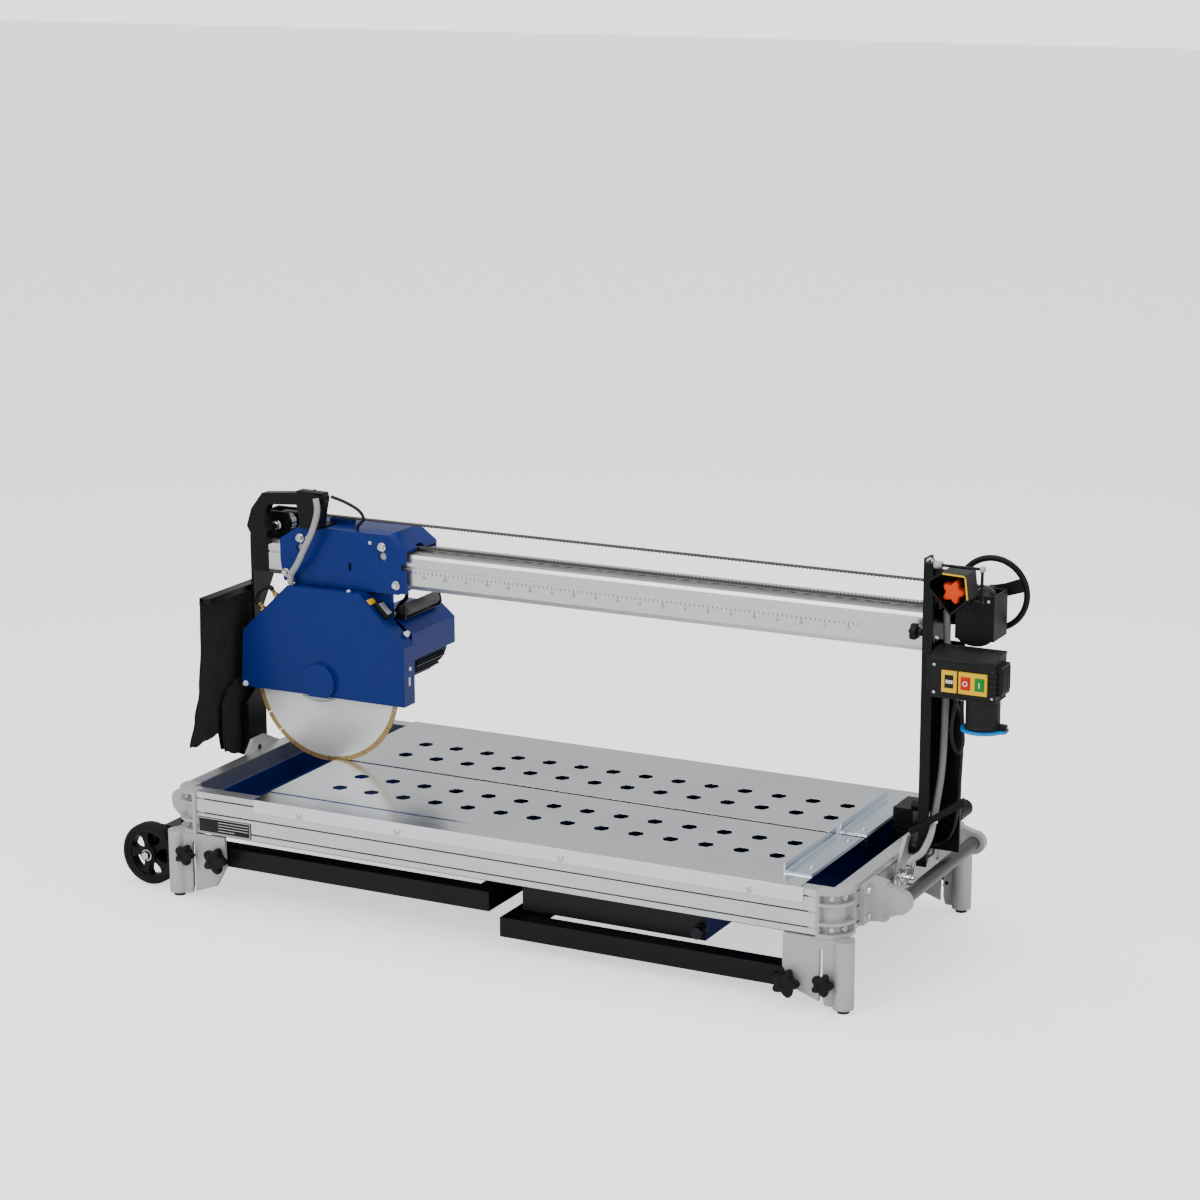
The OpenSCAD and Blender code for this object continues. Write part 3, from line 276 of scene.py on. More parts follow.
def trayColour(tree, colour):
    # blue inside the basin and on the lip, black underside and outer walls
    coord = tree.nodes.new("ShaderNodeTexCoord")
    split = tree.nodes.new("ShaderNodeSeparateXYZ")
    tree.links.new(coord.outputs["Object"], split.inputs[0])
    across = mathNode(tree, "ABSOLUTE", split.outputs[1])
    inside = rangeNode(tree, across, 0.2625, 0.2632, 1.0, 0.0)
    low = rangeNode(tree, split.outputs[2], 0.1505, 0.1512, 0.0, 1.0)
    return mixColour(tree, mathNode(tree, "MAXIMUM", inside, low), (0.006, 0.007, 0.010), colour)


def foamColour(tree, colour):
    # pale specks in the foam
    coord = tree.nodes.new("ShaderNodeTexCoord")
    cells = tree.nodes.new("ShaderNodeTexVoronoi")
    cells.inputs["Scale"].default_value = 520
    tree.links.new(coord.outputs["Object"], cells.inputs["Vector"])
    return mixColour(tree, rangeNode(tree, cells.outputs["Distance"], 0.18, 0.30, 0.75, 0.0),
                     colour, (0.30, 0.30, 0.29))


materials = {
    "rail_silver": finish("anodisedRail", (0.60, 0.61, 0.62), (0.72, 0.73, 0.74), 0.33, 0.05, metal=0.92,
                          scale=260, stretch=(0.03, 1, 1), share=0.25, bump=0.04, edgeRound=0.0008),
    "beam_silver": finish("anodisedBeam", (0.66, 0.67, 0.68), (0.76, 0.77, 0.78), 0.30, 0.05, metal=0.92,
                          scale=240, stretch=(0.03, 1, 1), share=0.25, bump=0.04, edgeRound=0.0008),
    "casting_grey": finish("castingPaint", (0.40, 0.40, 0.385), (0.54, 0.54, 0.525), 0.42, 0.08, metal=0.25,
                           scale=420, cloud=14, bump=0.22, wear=0.3, wearColour=(0.78, 0.78, 0.77),
                           edgeRound=0.0018),
    "foot_rubber": finish("footRubber", (0.010, 0.010, 0.010), (0.024, 0.024, 0.024), 0.7, 0.1, bump=0.2),
    "bar_steel": finish("dullTube", (0.060, 0.058, 0.056), (0.10, 0.098, 0.094), 0.34, 0.08, metal=0.5,
                        scale=200, bump=0.05),
    "tray_navy": finish("trayEnamel", (0.0012, 0.0115, 0.105), (0.0024, 0.017, 0.150), 0.34, 0.08, scale=180,
                        cloud=5, bump=0.06, coat=0.0, edgeRound=0.0015, colourNode=trayColour, specular=0.25),
    "table_steel": finish("tableSheet", (0.72, 0.75, 0.78), (0.86, 0.89, 0.92), 0.19, 0.05, metal=1.0,
                          scale=160, stretch=(0.06, 1, 1), cloud=5, share=0.5, bump=0.03, marks=0.06,
                          wearColour=(0.60, 0.62, 0.65), edgeRound=0.0010),
    "fence_steel": finish("fenceSheet", (0.56, 0.63, 0.72), (0.74, 0.82, 0.92), 0.22, 0.06, metal=0.95,
                          scale=160, stretch=(1, 0.06, 1), cloud=9, bump=0.03),
    "screw_steel": finish("plated", (0.60, 0.60, 0.59), (0.76, 0.76, 0.75), 0.24, 0.08, metal=1.0,
                          scale=500, bump=0.03),
    "plate_black": finish("plateBlack", (0.006, 0.006, 0.007), (0.014, 0.014, 0.015), 0.30, 0.05,
                          scale=600, bump=0.02, specular=0.2),
    "black_paint": finish("blackEnamel", (0.0022, 0.0022, 0.0024), (0.0052, 0.0052, 0.0056), 0.36, 0.07,
                          scale=500, cloud=10, bump=0.10, wear=0.10, wearColour=(0.10, 0.10, 0.10),
                          specular=0.2, edgeRound=0.0009),
    "black_plastic": finish("blackMoulding", (0.0035, 0.0035, 0.0038), (0.0085, 0.0085, 0.009), 0.42, 0.06,
                            scale=900, share=0.2, bump=0.16, edgeRound=0.0008, specular=0.18),
    "belt_rubber": finish("beltRubber", (0.030, 0.029, 0.022), (0.065, 0.062, 0.050), 0.6, 0.1, bump=0.1),
    "curtain_rubber": finish("bristleRubber", (0.0016, 0.0016, 0.0016), (0.016, 0.016, 0.016), 0.88, 0.08,
                             scale=560, share=0.12, bump=1.0, depth=0.004, sheen=0.08, specular=0.1),
    "box_plastic": finish("switchMoulding", (0.0065, 0.007, 0.008), (0.013, 0.0135, 0.015), 0.46, 0.06,
                          scale=800, share=0.2, bump=0.2, edgeRound=0.0016, specular=0.2),
    "yellow_plate": finish("yellowPlate", (0.85, 0.49, 0.0), (0.92, 0.56, 0.002), 0.35, 0.05, scale=300,
                           bump=0.03, edgeRound=0.0012, specular=0.25),
    "conduit_grey": finish("conduitGrey", (0.15, 0.155, 0.16), (0.24, 0.245, 0.25), 0.40, 0.08,
                           scale=500, bump=0.08),
    "blue_paint": finish("bluePaint", (0.0006, 0.0125, 0.135), (0.0012, 0.0185, 0.180), 0.30, 0.05,
                         scale=620, cloud=6, share=0.3, bump=0.10, wear=0.35, wearColour=(0.06, 0.14, 0.40),
                         edge=0.0022, coat=0.0, edgeRound=0.0018, specular=0.22),
    "motor_dark": finish("motorEnamel", (0.012, 0.015, 0.024), (0.024, 0.028, 0.040), 0.42, 0.08,
                         scale=400, bump=0.2, edgeRound=0.0008, specular=0.2),
    "brass": finish("brassFitting", (0.58, 0.36, 0.10), (0.74, 0.50, 0.18), 0.26, 0.07, metal=1.0, bump=0.03),
    "pulley_steel": finish("turnedAlloy", (0.50, 0.50, 0.50), (0.66, 0.66, 0.66), 0.3, 0.06, metal=0.95,
                           bump=0.04),
    "wheel_rubber": finish("wheelRubber", (0.0035, 0.0035, 0.0035), (0.009, 0.009, 0.009), 0.50, 0.08,
                           scale=700, bump=0.12, edgeRound=0.0012, specular=0.16),
    "orange_plastic": finish("orangeMoulding", (0.90, 0.055, 0.0), (0.96, 0.08, 0.001), 0.34, 0.05,
                             scale=700, bump=0.08, edgeRound=0.002, specular=0.25),
    "red_plastic": finish("redMoulding", (0.55, 0.0, 0.0), (0.66, 0.003, 0.002), 0.34, 0.05, scale=600,
                          bump=0.06, specular=0.25),
    "green_plastic": finish("greenMoulding", (0.0, 0.19, 0.02), (0.002, 0.26, 0.035), 0.34, 0.05,
                            scale=600, bump=0.06, specular=0.25),
    "cap_blue": finish("capBlue", (0.0, 0.20, 0.62), (0.004, 0.26, 0.74), 0.32, 0.05, scale=600, bump=0.06,
                       edgeRound=0.001, specular=0.3),
    "tap_chrome": finish("tapChrome", (0.70, 0.70, 0.70), (0.82, 0.82, 0.82), 0.13, 0.05, metal=1.0,
                         bump=0.02, edgeRound=0.001),
    "hosePale": finish("hosePale", (0.30, 0.31, 0.32), (0.44, 0.45, 0.46), 0.30, 0.06, scale=400, bump=0.05,
                       coat=0.2),
    "leadBlack": finish("leadBlack", (0.003, 0.003, 0.003), (0.008, 0.008, 0.008), 0.36, 0.06, scale=700,
                        bump=0.05, specular=0.25),
    "foam": finish("gripFoam", (0.020, 0.020, 0.019), (0.050, 0.050, 0.048), 0.78, 0.08, scale=700, bump=0.5,
                   sheen=0.15, colourNode=foamColour),
    "markWhite": finish("markWhite", (0.80, 0.80, 0.80), (0.88, 0.88, 0.88), 0.4, 0.05, bump=0.01),
    "alloyGrey": finish("alloyGrey", (0.34, 0.35, 0.36), (0.48, 0.49, 0.50), 0.38, 0.08, metal=0.5, scale=400,
                        bump=0.08, edgeRound=0.0008),
}


def bladeColour(tree, colour):
    # brass-coloured segments outside the core
    place = at(-571, 0, 171)
    coord = tree.nodes.new("ShaderNodeTexCoord")
    split = tree.nodes.new("ShaderNodeSeparateXYZ")
    tree.links.new(coord.outputs["Object"], split.inputs[0])
    dx = mathNode(tree, "SUBTRACT", split.outputs[0], place.x)
    dz = mathNode(tree, "SUBTRACT", split.outputs[2], place.z)
    r = mathNode(tree, "SQRT", mathNode(tree, "ADD", mathNode(tree, "MULTIPLY", dx, dx),
                                       mathNode(tree, "MULTIPLY", dz, dz)))
    rim = rangeNode(tree, r, 0.1640, 0.1650, 0.0, 1.0)
    grit = tree.nodes.new("ShaderNodeTexNoise")
    grit.inputs["Scale"].default_value = 700
    tree.links.new(coord.outputs["Object"], grit.inputs["Vector"])
    rimColour = mixColour(tree, grit.outputs["Fac"], (0.24, 0.15, 0.05), (0.56, 0.38, 0.16))
    return mixColour(tree, rim, colour, rimColour)


materials["blade_steel"] = finish("bladeSteel", (0.80, 0.80, 0.79), (0.90, 0.90, 0.89), 0.34, 0.05, metal=0.55,
                                  scale=500, bump=0.03, colourNode=bladeColour)

slotOf = {s["node"]: s["material_slot"] for s in frame["record"]["subparts"]}
for name, obj in nodes.items():
    mat = materials[slotOf[name]]
    obj.data.materials.clear()
    obj.data.materials.append(mat)
print("saw: finishes on all nodes")

# mesh tools for the added pieces, in millimetres
axisWays = {
    "x": ((1, 0, 0), (0, 1, 0), (0, 0, 1)), "-x": ((-1, 0, 0), (0, 0, 1), (0, 1, 0)),
    "y": ((0, 1, 0), (0, 0, 1), (1, 0, 0)), "-y": ((0, -1, 0), (1, 0, 0), (0, 0, 1)),
    "z": ((0, 0, 1), (1, 0, 0), (0, 1, 0)), "-z": ((0, 0, -1), (0, 1, 0), (1, 0, 0)),
}


def axisFrame(axis):
    if isinstance(axis, str):
        return tuple(Vector(v) for v in axisWays[axis])
    d = Vector(axis).normalized()
    u = d.orthogonal().normalized()
    return d, u, d.cross(u)


def addBox(bm, x0, x1, y0, y1, z0, z1, bevel=0.0, steps=2):
    v = [bm.verts.new(at(x, y, z)) for x in (x0, x1) for y in (y0, y1) for z in (z0, z1)]
    faces = [bm.faces.new([v[i] for i in f]) for f in
             ((0, 1, 3, 2), (4, 6, 7, 5), (0, 4, 5, 1), (2, 3, 7, 6), (0, 2, 6, 4), (1, 5, 7, 3))]
    if bevel:
        edges = list({e for f in faces for e in f.edges})
        bmesh.ops.bevel(bm, geom=edges, offset=bevel / 1000, segments=steps, affect="EDGES", profile=0.5)
    return v


def addPrism(bm, outline, axis, a, b, bevel=0.0):
    # outline is (x, z) for y, (y, z) for x and (x, y) for z
    def spot(p, q, t):
        return at(*{"y": (p, t, q), "x": (t, p, q), "z": (p, q, t)}[axis])
    low = [bm.verts.new(spot(p, q, a)) for p, q in outline]
    high = [bm.verts.new(spot(p, q, b)) for p, q in outline]
    n = len(outline)
    faces = [bm.faces.new(low[::-1]), bm.faces.new(high)]
    faces += [bm.faces.new((low[i], low[(i + 1) % n], high[(i + 1) % n], high[i])) for i in range(n)]
    bmesh.ops.recalc_face_normals(bm, faces=faces)
    if bevel:
        edges = list({e for f in faces[:2] for e in f.edges})
        bmesh.ops.bevel(bm, geom=edges, offset=bevel / 1000, segments=2, affect="EDGES", profile=0.5)


def addLathe(bm, centre, axis, profile, segments=28, loop=False, shape=None):
    # profile is (radius, along); shape gives a factor on the radius for an angle
    d, u, v = axisFrame(axis)
    c = at(*centre)
    rings = []
    for radius, along in profile:
        p = c + d * (along / 1000)
        if radius == 0:
            rings.append([bm.verts.new(p)])
            continue
        ring = []
        for i in range(segments):
            t = 2 * pi * i / segments
            r = radius * (shape(t) if shape else 1) / 1000
            ring.append(bm.verts.new(p + (u * cos(t) + v * sin(t)) * r))
        rings.append(ring)
    pairs = list(zip(rings, rings[1:])) + ([(rings[-1], rings[0])] if loop else [])
    for a, b in pairs:
        for i in range(segments):
            j = (i + 1) % segments
            if len(a) == 1 and len(b) == 1:
                continue
            if len(a) == 1:
                bm.faces.new((a[0], b[i], b[j]))
            elif len(b) == 1:
                bm.faces.new((a[i], b[0], a[j]))
            else:
                bm.faces.new((a[i], b[i], b[j], a[j]))


def smoothRun(points, per):
    p = [Vector(q) for q in points]
    n = len(p) - 1
    run = []
    for i in range(n):
        a, b, c, d = p[max(i - 1, 0)], p[i], p[i + 1], p[min(i + 2, n)]
        for k in range(per):
            t = k / per
            run.append(0.5 * (2 * b + (c - a) * t + (2 * a - 5 * b + 4 * c - d) * t * t
                              + (3 * b - a - 3 * c + d) * t * t * t))
    return run + [p[n]]


def evenRun(points, step):
    # the same run with points a fixed step apart
    fine = smoothRun(points, 40)
    total = [0.0]
    for a, b in zip(fine, fine[1:]):
        total.append(total[-1] + (b - a).length)
    count = max(2, round(total[-1] / step))
    out, k = [], 0
    for i in range(count + 1):
        want = total[-1] * i / count
        while k < len(total) - 2 and total[k + 1] < want:
            k += 1
        span = total[k + 1] - total[k]
        out.append(fine[k].lerp(fine[k + 1], 0 if span == 0 else (want - total[k]) / span))
    return out, total[-1]


def addTube(bm, run, radius, sides=14):
    # radius is a number or one value for each point
    n = len(run)
    pts = [at(*p) for p in run]
    side = None
    rings = []
    for i, p in enumerate(pts):
        t = (pts[min(i + 1, n - 1)] - pts[max(i - 1, 0)]).normalized()
        side = t.orthogonal().normalized() if side is None else (side - t * side.dot(t)).normalized()
        other = t.cross(side)
        r = (radius if isinstance(radius, (int, float)) else radius[i]) / 1000
        rings.append([bm.verts.new(p + (side * cos(2 * pi * k / sides) + other * sin(2 * pi * k / sides)) * r)
                      for k in range(sides)])
    for a, b in zip(rings, rings[1:]):
        for k in range(sides):
            bm.faces.new((a[k], a[(k + 1) % sides], b[(k + 1) % sides], b[k]))
    bm.faces.new(rings[0][::-1])
    bm.faces.new(rings[-1])


def putPiece(bm, name, body, slotName, look=None, stands=(), angle=38):
    bmesh.ops.recalc_face_normals(bm, faces=bm.faces)
    mesh = bpy.data.meshes.new(name)
    bm.to_mesh(mesh)
    bm.free()
    mesh.polygons.foreach_set("use_smooth", [True] * len(mesh.polygons))
    mesh.set_sharp_from_angle(angle=radians(angle))
    mesh.materials.append(materials[look or slotName])
    piece = bpy.data.objects.new(name, mesh)
    bpy.context.scene.collection.objects.link(piece)
    if body:
        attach(piece, body)
    if stands:
        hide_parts(*stands)
    return piece


def hexShape(t):
    return cos(pi / 6) / cos((t + pi / 6) % (pi / 3) - pi / 6)


def addHexBolt(bm, centre, axis, across, height, washer=True):
    r = across / 2 / cos(pi / 6)
    base = 1.6 if washer else 0.0
    if washer:
        addLathe(bm, centre, axis, [(0, 0), (r * 1.35, 0), (r * 1.35, 1.3), (r * 1.28, 1.6), (0, 1.6)], 28)
    addLathe(bm, centre, axis, [(0, base), (r, base), (r, base + height * 0.82), (r * 0.9, base + height),
                                (0, base + height)], 24, shape=hexShape)


def addSocketBolt(bm, centre, axis, size, height):
    r = size / 2
    addLathe(bm, centre, axis, [(0, 0), (r * 1.35, 0), (r * 1.35, 1.4), (r, 1.6), (r, height - 0.8),
                                (r - 0.8, height), (r * 0.58, height), (r * 0.5, height - size * 0.28),
                                (0, height - size * 0.30)], 28)


def addPanScrew(bm, centre, axis, size, height):
    # domed head with a round recess
    r = size / 2
    addLathe(bm, centre, axis, [(0, 0), (r, 0), (r, height * 0.35), (r * 0.86, height * 0.75),
                                (r * 0.5, height), (r * 0.30, height * 0.98), (r * 0.16, height * 0.55),
                                (0, height * 0.5)], 24)


def addKnob(bm, centre, axis, size, height, lobes=5):
    # lobed clamping knob, its seat at the centre point
    r = size / 2
    def lobed(t):
        return 0.83 + 0.17 * cos(lobes * t)
    addLathe(bm, centre, axis,
             [(0, -8), (r * 0.42, -8), (r * 0.42, -0.5)], 30)
    addLathe(bm, centre, axis,
             [(0, -0.5), (r * 0.80, 0), (r * 0.95, 1.5), (r, height * 0.30), (r * 0.97, height * 0.72),
              (r * 0.86, height * 0.93), (r * 0.62, height), (r * 0.34, height), (r * 0.30, height - 1.8),
              (0, height - 2.2)], 80, shape=lobed)


# hoses and leads first: their routes, in millimetres
conduit = {
    "mastWay": [(806, 30, 470), (808, 28, 430), (810, 26, 380), (810, 24, 300), (809, 22, 200), (807, 16, 140),
                (804, 6, 96), (802, -4, 60)],
    "tapWay": [(802, -4, 60), (800, -16, 30), (793, -40, 4), (783, -62, -4), (778, -70, -14)],
    "leadWay": [(832, 2, 319.5), (833, 15, 296), (838, 34, 262), (839, 41, 220), (837, 42, 150), (832, 43, 70),
                (820, 45, 22), (800, 46, 1), (781.6, 46, -4)],
    "loopWay": [(846, -8, 321), (839, -8, 285), (834, -6, 245), (839, -4, 214), (850, -3, 202),
                (857.5, -3, 222), (857, -5, 250), (856, -8, 290), (857, -10, 321)],
    "headWay": [(-571, -28, 572), (-568, -29, 545), (-580, -29, 505), (-601, -28, 465), (-624, -25, 425),
                (-648, -12, 398), (-651, -10, 377)],
    "roofWay": [(-556, 8, 571), (-528, 15, 561), (-498, 21, 545), (-488, 24, 527), (-500, 22, 511),
                (-501, 21, 502.8)],
    "motorWayA": [(-440, 60, 375), (-446, 58, 352), (-452, 58, 332), (-453, 58, 318)],
    "motorWayB": [(-424, 84, 375), (-424, 86, 352), (-440, 84, 334), (-448, 82, 319)],
    "ribPitch": 4.2, "ribDepth": 0.9, "ribStep": 1.05,
}


def makeHose(name, body, way, size, ribbed, look, stands=()):
    # body is one name, or None for a hose that is attached to no body
    step = conduit["ribStep"] if ribbed else 2.0
    run, length = evenRun(way, step)
    bm = bmesh.new()
    if ribbed:
        depth, pitch = conduit["ribDepth"], conduit["ribPitch"]
        radii = [size / 2 - depth * (0.5 + 0.5 * cos(2 * pi * i * length / (len(run) - 1) / pitch))
                 for i in range(len(run))]
    else:
        radii = size / 2
    addTube(bm, run, radii, 16 if ribbed else 12)
    piece = putPiece(bm, name, body, "conduit_grey", look, stands, angle=80)
    return piece


def makeTapHose():
    # the hose is attached to no body; only its joiner goes on the bridge
    way = conduit["tapWay"]
    hose = makeHose("tapHose", None, way, 14, True, "hosePale")
    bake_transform(hose)
    bm = bmesh.new()
    addLathe(bm, (802, -3.4, 61.4), (-0.07, -0.36, -0.93), [(0, -6), (8.6, -6), (9.2, -5), (9.2, 5), (8.6, 6),
                                                           (0, 6)], 28)
    putPiece(bm, "hoseJoiner", "bridge", "screw_steel")


makeHose("mastConduit", "bridge", conduit["mastWay"], 15, True, "conduit_grey", ("mast_conduit",))
makeTapHose()
makeHose("switchLead", "bridge", conduit["leadWay"], 8, False, "leadBlack")
makeHose("switchLoop", "bridge", conduit["loopWay"], 7, False, "leadBlack")
makeHose("headHose", "carriage", conduit["headWay"], 14, True, "hosePale", ("head_conduit",))
makeHose("roofLead", "carriage", conduit["roofWay"], 7, False, "leadBlack")
makeHose("motorLeadA", "carriage", conduit["motorWayA"], 9, False, "leadBlack")
makeHose("motorLeadB", "carriage", conduit["motorWayB"], 9, False, "leadBlack")
print("saw: hoses and leads")

# beam: engraved scale on the front face
ruler = {"x0": -390, "x1": 632, "top": 428.5, "short": 5.0, "middle": 7.0, "long": 9.5, "width": 1.5, "figure": 7.5}


def makeRuler():
    bm = bmesh.new()
    half = ruler["width"] / 2
    for i, x in enumerate(range(ruler["x0"], ruler["x1"] + 1, 10)):
        tall = ruler["long"] if i % 10 == 0 else ruler["middle"] if i % 5 == 0 else ruler["short"]
        addBox(bm, x - half, x + half, 17.86, 18.05, ruler["top"] - tall, ruler["top"])
    putPiece(bm, "rulerMarks", "bridge", "plate_black")
    bm = bmesh.new()
    for i, x in enumerate(range(ruler["x0"], ruler["x1"], 50)):
        curve = bpy.data.curves.new("figure", "FONT")
        curve.body = str(110 - 5 * i)
        curve.size = ruler["figure"] / 1000
        curve.align_x = "CENTER"
        shape = bpy.data.objects.new("figure", curve)
        bpy.context.scene.collection.objects.link(shape)
        bpy.context.view_layer.update()
        flat = bpy.data.meshes.new_from_object(shape.evaluated_get(bpy.context.evaluated_depsgraph_get()))
        flat.transform(Matrix.Translation(at(x, 17.84, 413.5)) @ Matrix.Rotation(radians(90), 4, "X"))
        bm.from_mesh(flat)
        bpy.data.objects.remove(shape)
    putPiece(bm, "rulerFigures", "bridge", "plate_black")


makeRuler()

# drive belt: toothed loop over both pulleys
belt = {"idleX": -708.0, "driveX": 866.0, "z": 491.5, "mid": 68.0, "inner": 21.5, "outer": 25.3,
        "pitch": 8.0, "half": 7.0}


def makeBelt():
    bm = bmesh.new()
    r = belt["inner"]
    span = belt["driveX"] - belt["idleX"]
    around = 2 * span + 2 * pi * r
    teeth = round(around / belt["pitch"])
    rings = []
    for i in range(teeth * 4):
        s = around * i / (teeth * 4)
        if s < span:
            x, z, nx, nz = belt["idleX"] + s, belt["z"], 0, 1
        elif s < span + pi * r:
            a = (s - span) / r
            x, z, nx, nz = belt["driveX"], belt["z"], sin(a), cos(a)
        elif s < 2 * span + pi * r:
            x, z, nx, nz = belt["driveX"] - (s - span - pi * r), belt["z"], 0, -1
        else:
            a = (s - 2 * span - pi * r) / r
            x, z, nx, nz = belt["idleX"], belt["z"], -sin(a), -cos(a)
        low = r + (0.1 if i % 4 < 2 else 1.8)
        high = belt["outer"]
        rings.append([bm.verts.new(at(x + nx * k, belt["mid"] + y, z + nz * k)) for k, y in
                      ((low, -belt["half"]), (high, -belt["half"]), (high, belt["half"]),
                       (low, belt["half"]))])
    for a, b in zip(rings, rings[1:] + rings[:1]):
        for k in range(4):
            bm.faces.new((a[k], a[(k + 1) % 4], b[(k + 1) % 4], b[k]))
    putPiece(bm, "toothedBelt", "bridge", "belt_rubber", None, ("drive_belt",), angle=25)


makeBelt()
print("saw: scale and belt")

# splash curtain: two rough rubber sheets hung from the angle bar
curtain = {"top": 346.0, "across": 28, "down": 34, "thick": 2.4}


def ragged(u, knots):
    for (a, va), (b, vb) in zip(knots, knots[1:]):
        if u <= b:
            t = (u - a) / max(b - a, 1e-6)
            return va + (vb - va) * (t * t * (3 - 2 * t))
    return knots[-1][1]


def makeFlap(name, left, right, bottom, planeX, wave, topZ, stands=()):
    # left and right give y for a share of the drop, bottom gives the lowest z across
    bm = bmesh.new()
    nu, nv = curtain["across"], curtain["down"]
    grid = []
    for i in range(nu + 1):
        u = i / nu
        low = ragged(u, bottom) + 2.2 * noise.noise(Vector((u * 17, planeX, 0.3)))
        column = []
        for j in range(nv + 1):
            v = j / nv
            y = ragged(v, left) * (1 - u) + ragged(v, right) * u
            z = topZ(u) + (low - topZ(u)) * v
            x = planeX + wave * v * (0.9 * sin(2.6 * pi * u + 0.6) + 0.5 * sin(5.1 * pi * u + 2 * v))
            column.append(bm.verts.new(at(x, y, z)))
        grid.append(column)
    for i in range(nu):
        for j in range(nv):
            bm.faces.new((grid[i][j], grid[i + 1][j], grid[i + 1][j + 1], grid[i][j + 1]))
    piece = putPiece(bm, name, "bridge", "curtain_rubber", None, stands, angle=80)
    thick = piece.modifiers.new("thickness", "SOLIDIFY")
    thick.thickness = curtain["thick"] / 1000
    thick.offset = 0
    return piece


makeFlap("curtainBack", [(0, -128), (0.3, -132), (0.62, -146), (0.82, -168), (1, -190)],
         [(0, 94), (1, 84)],
         [(0, 44), (0.10, 38), (0.20, 42), (0.42, 46), (0.47, 4), (0.75, -20), (1, -40)],
         -802.0, 5.0, lambda u: curtain["top"], ("splash_curtain",))
makeFlap("curtainFront", [(0, -30), (0.12, -62), (0.3, -78), (0.7, -80), (1, -74)],
         [(0, 54), (1, 62)],
         [(0, 6), (0.3, -8), (0.62, -22), (1, -36)],
         -790.5, 2.2, lambda u: 166.0 - 14.0 * (1 - u))


def makeCurtainBar():
    bm = bmesh.new()
    addPrism(bm, [(-806, 338), (-805.2, 355), (-779, 355), (-779, 352.2), (-803, 352.2), (-803.4, 338)],
             "y", -126, 98, 0.4)
    putPiece(bm, "curtainBar", "bridge", "black_paint")
    bm = bmesh.new()
    for y in (-114, -52, 10, 72):
        addPanScrew(bm, (-806, y, 345), "-x", 8, 3)
    putPiece(bm, "curtainScrews", "bridge", "screw_steel")


makeCurtainBar()
print("saw: splash curtain")

# saw head
hood = {"boltZ": 476.0, "rollerX": (-633.0, -432.0), "cornerX": (-671.0, -400.0), "cornerZ": 397.0}


def makeHoodBolts():
    bm = bmesh.new()
    for x in hood["rollerX"]:
        addLathe(bm, (x, 30, hood["boltZ"]), "-y", [(0, 0), (4, 0), (4, 27), (0, 27)], 20)
        addSocketBolt(bm, (x, 4, hood["boltZ"]), "-y", 14, 8)
    for x in hood["cornerX"]:
        addHexBolt(bm, (x, 4, hood["cornerZ"]), "-y", 12, 5.5)
    for x, z in ((-616, 478), (-461, 482)):
        addPanScrew(bm, (x, 4, z), "-y", 9, 2.6)
    # back plate
    for x in (-660, -560, -420):
        addHexBolt(bm, (x, 134, 430), "y", 12, 5.5)
    putPiece(bm, "hoodBolts", "carriage", "screw_steel", None, ("carriage_bolts",))


def makeHoodWindows():
    # pale roller ends seen through the round holes
    bm = bmesh.new()
    for x in hood["rollerX"]:
        addLathe(bm, (x, 12, 455), "-y", [(0, 0), (9.6, 0), (9.6, 2.2), (8.8, 2.8), (3, 2.9), (2.4, 2.2), (0, 2.2)],
                 36)
    putPiece(bm, "rollerEnds", "carriage", "pulley_steel", "alloyGrey")


def makeGuardTrim():
    x0, x1 = -773.0, -369.0
    bm = bmesh.new()
    rim = [(x0, 143), (x0 + 8, 268), (-651, 376), (-474, 376), (x1, 270), (x1, 143)]
    run = [(x, -22, z) for x, z in rim]
    for a, b in zip(run, run[1:]):
        addTube(bm, [a, b], 1.1, 8)
    putPiece(bm, "guardHem", "carriage", "blue_paint")
    bm = bmesh.new()
    # curved lip under the flange cover
    lip = [(-617 + 84 * k / 12, 141.5 - 8.0 * sin(pi * k / 12)) for k in range(13)]
    addPrism(bm, [(-617, 143)] + lip[1:-1] + [(-533, 143)], "y", -32, -24, 0.4)
    putPiece(bm, "flangeLip", "carriage", "screw_steel", "alloyGrey")
    bm = bmesh.new()
    addHexBolt(bm, (-764, -22, 149), "-y", 8, 4)
    addPanScrew(bm, (-506, -12, 376), "z", 9, 4)
    addPanScrew(bm, (-368.6, 2, 222), "x", 9, 3)
    addHexBolt(bm, (-383, 14, 292), (0.7, 0, 0.7), 9, 6)
    putPiece(bm, "guardBolts", "carriage", "screw_steel", "markWhite")
    bm = bmesh.new()
    # blank bright strip down the right edge
    addBox(bm, -369.2, -368.3, -3, 3, 186, 204)
    putPiece(bm, "edgeMark", "carriage", None, "markWhite")


def slopeBox(bm, start, turnDeg, x0, x1, y0, y1, z0, z1, bevel=0.0):
    # a box laid on a slope: turned about y at the start point
    before = set(bm.verts)
    addBox(bm, start[0] + x0, start[0] + x1, y0, y1, start[1] + z0, start[1] + z1, bevel)
    made = [v for v in bm.verts if v not in before]
    pivot = at(start[0], 0, start[1])
    bmesh.ops.rotate(bm, verts=made, cent=pivot, matrix=Matrix.Rotation(radians(turnDeg), 3, "Y"))


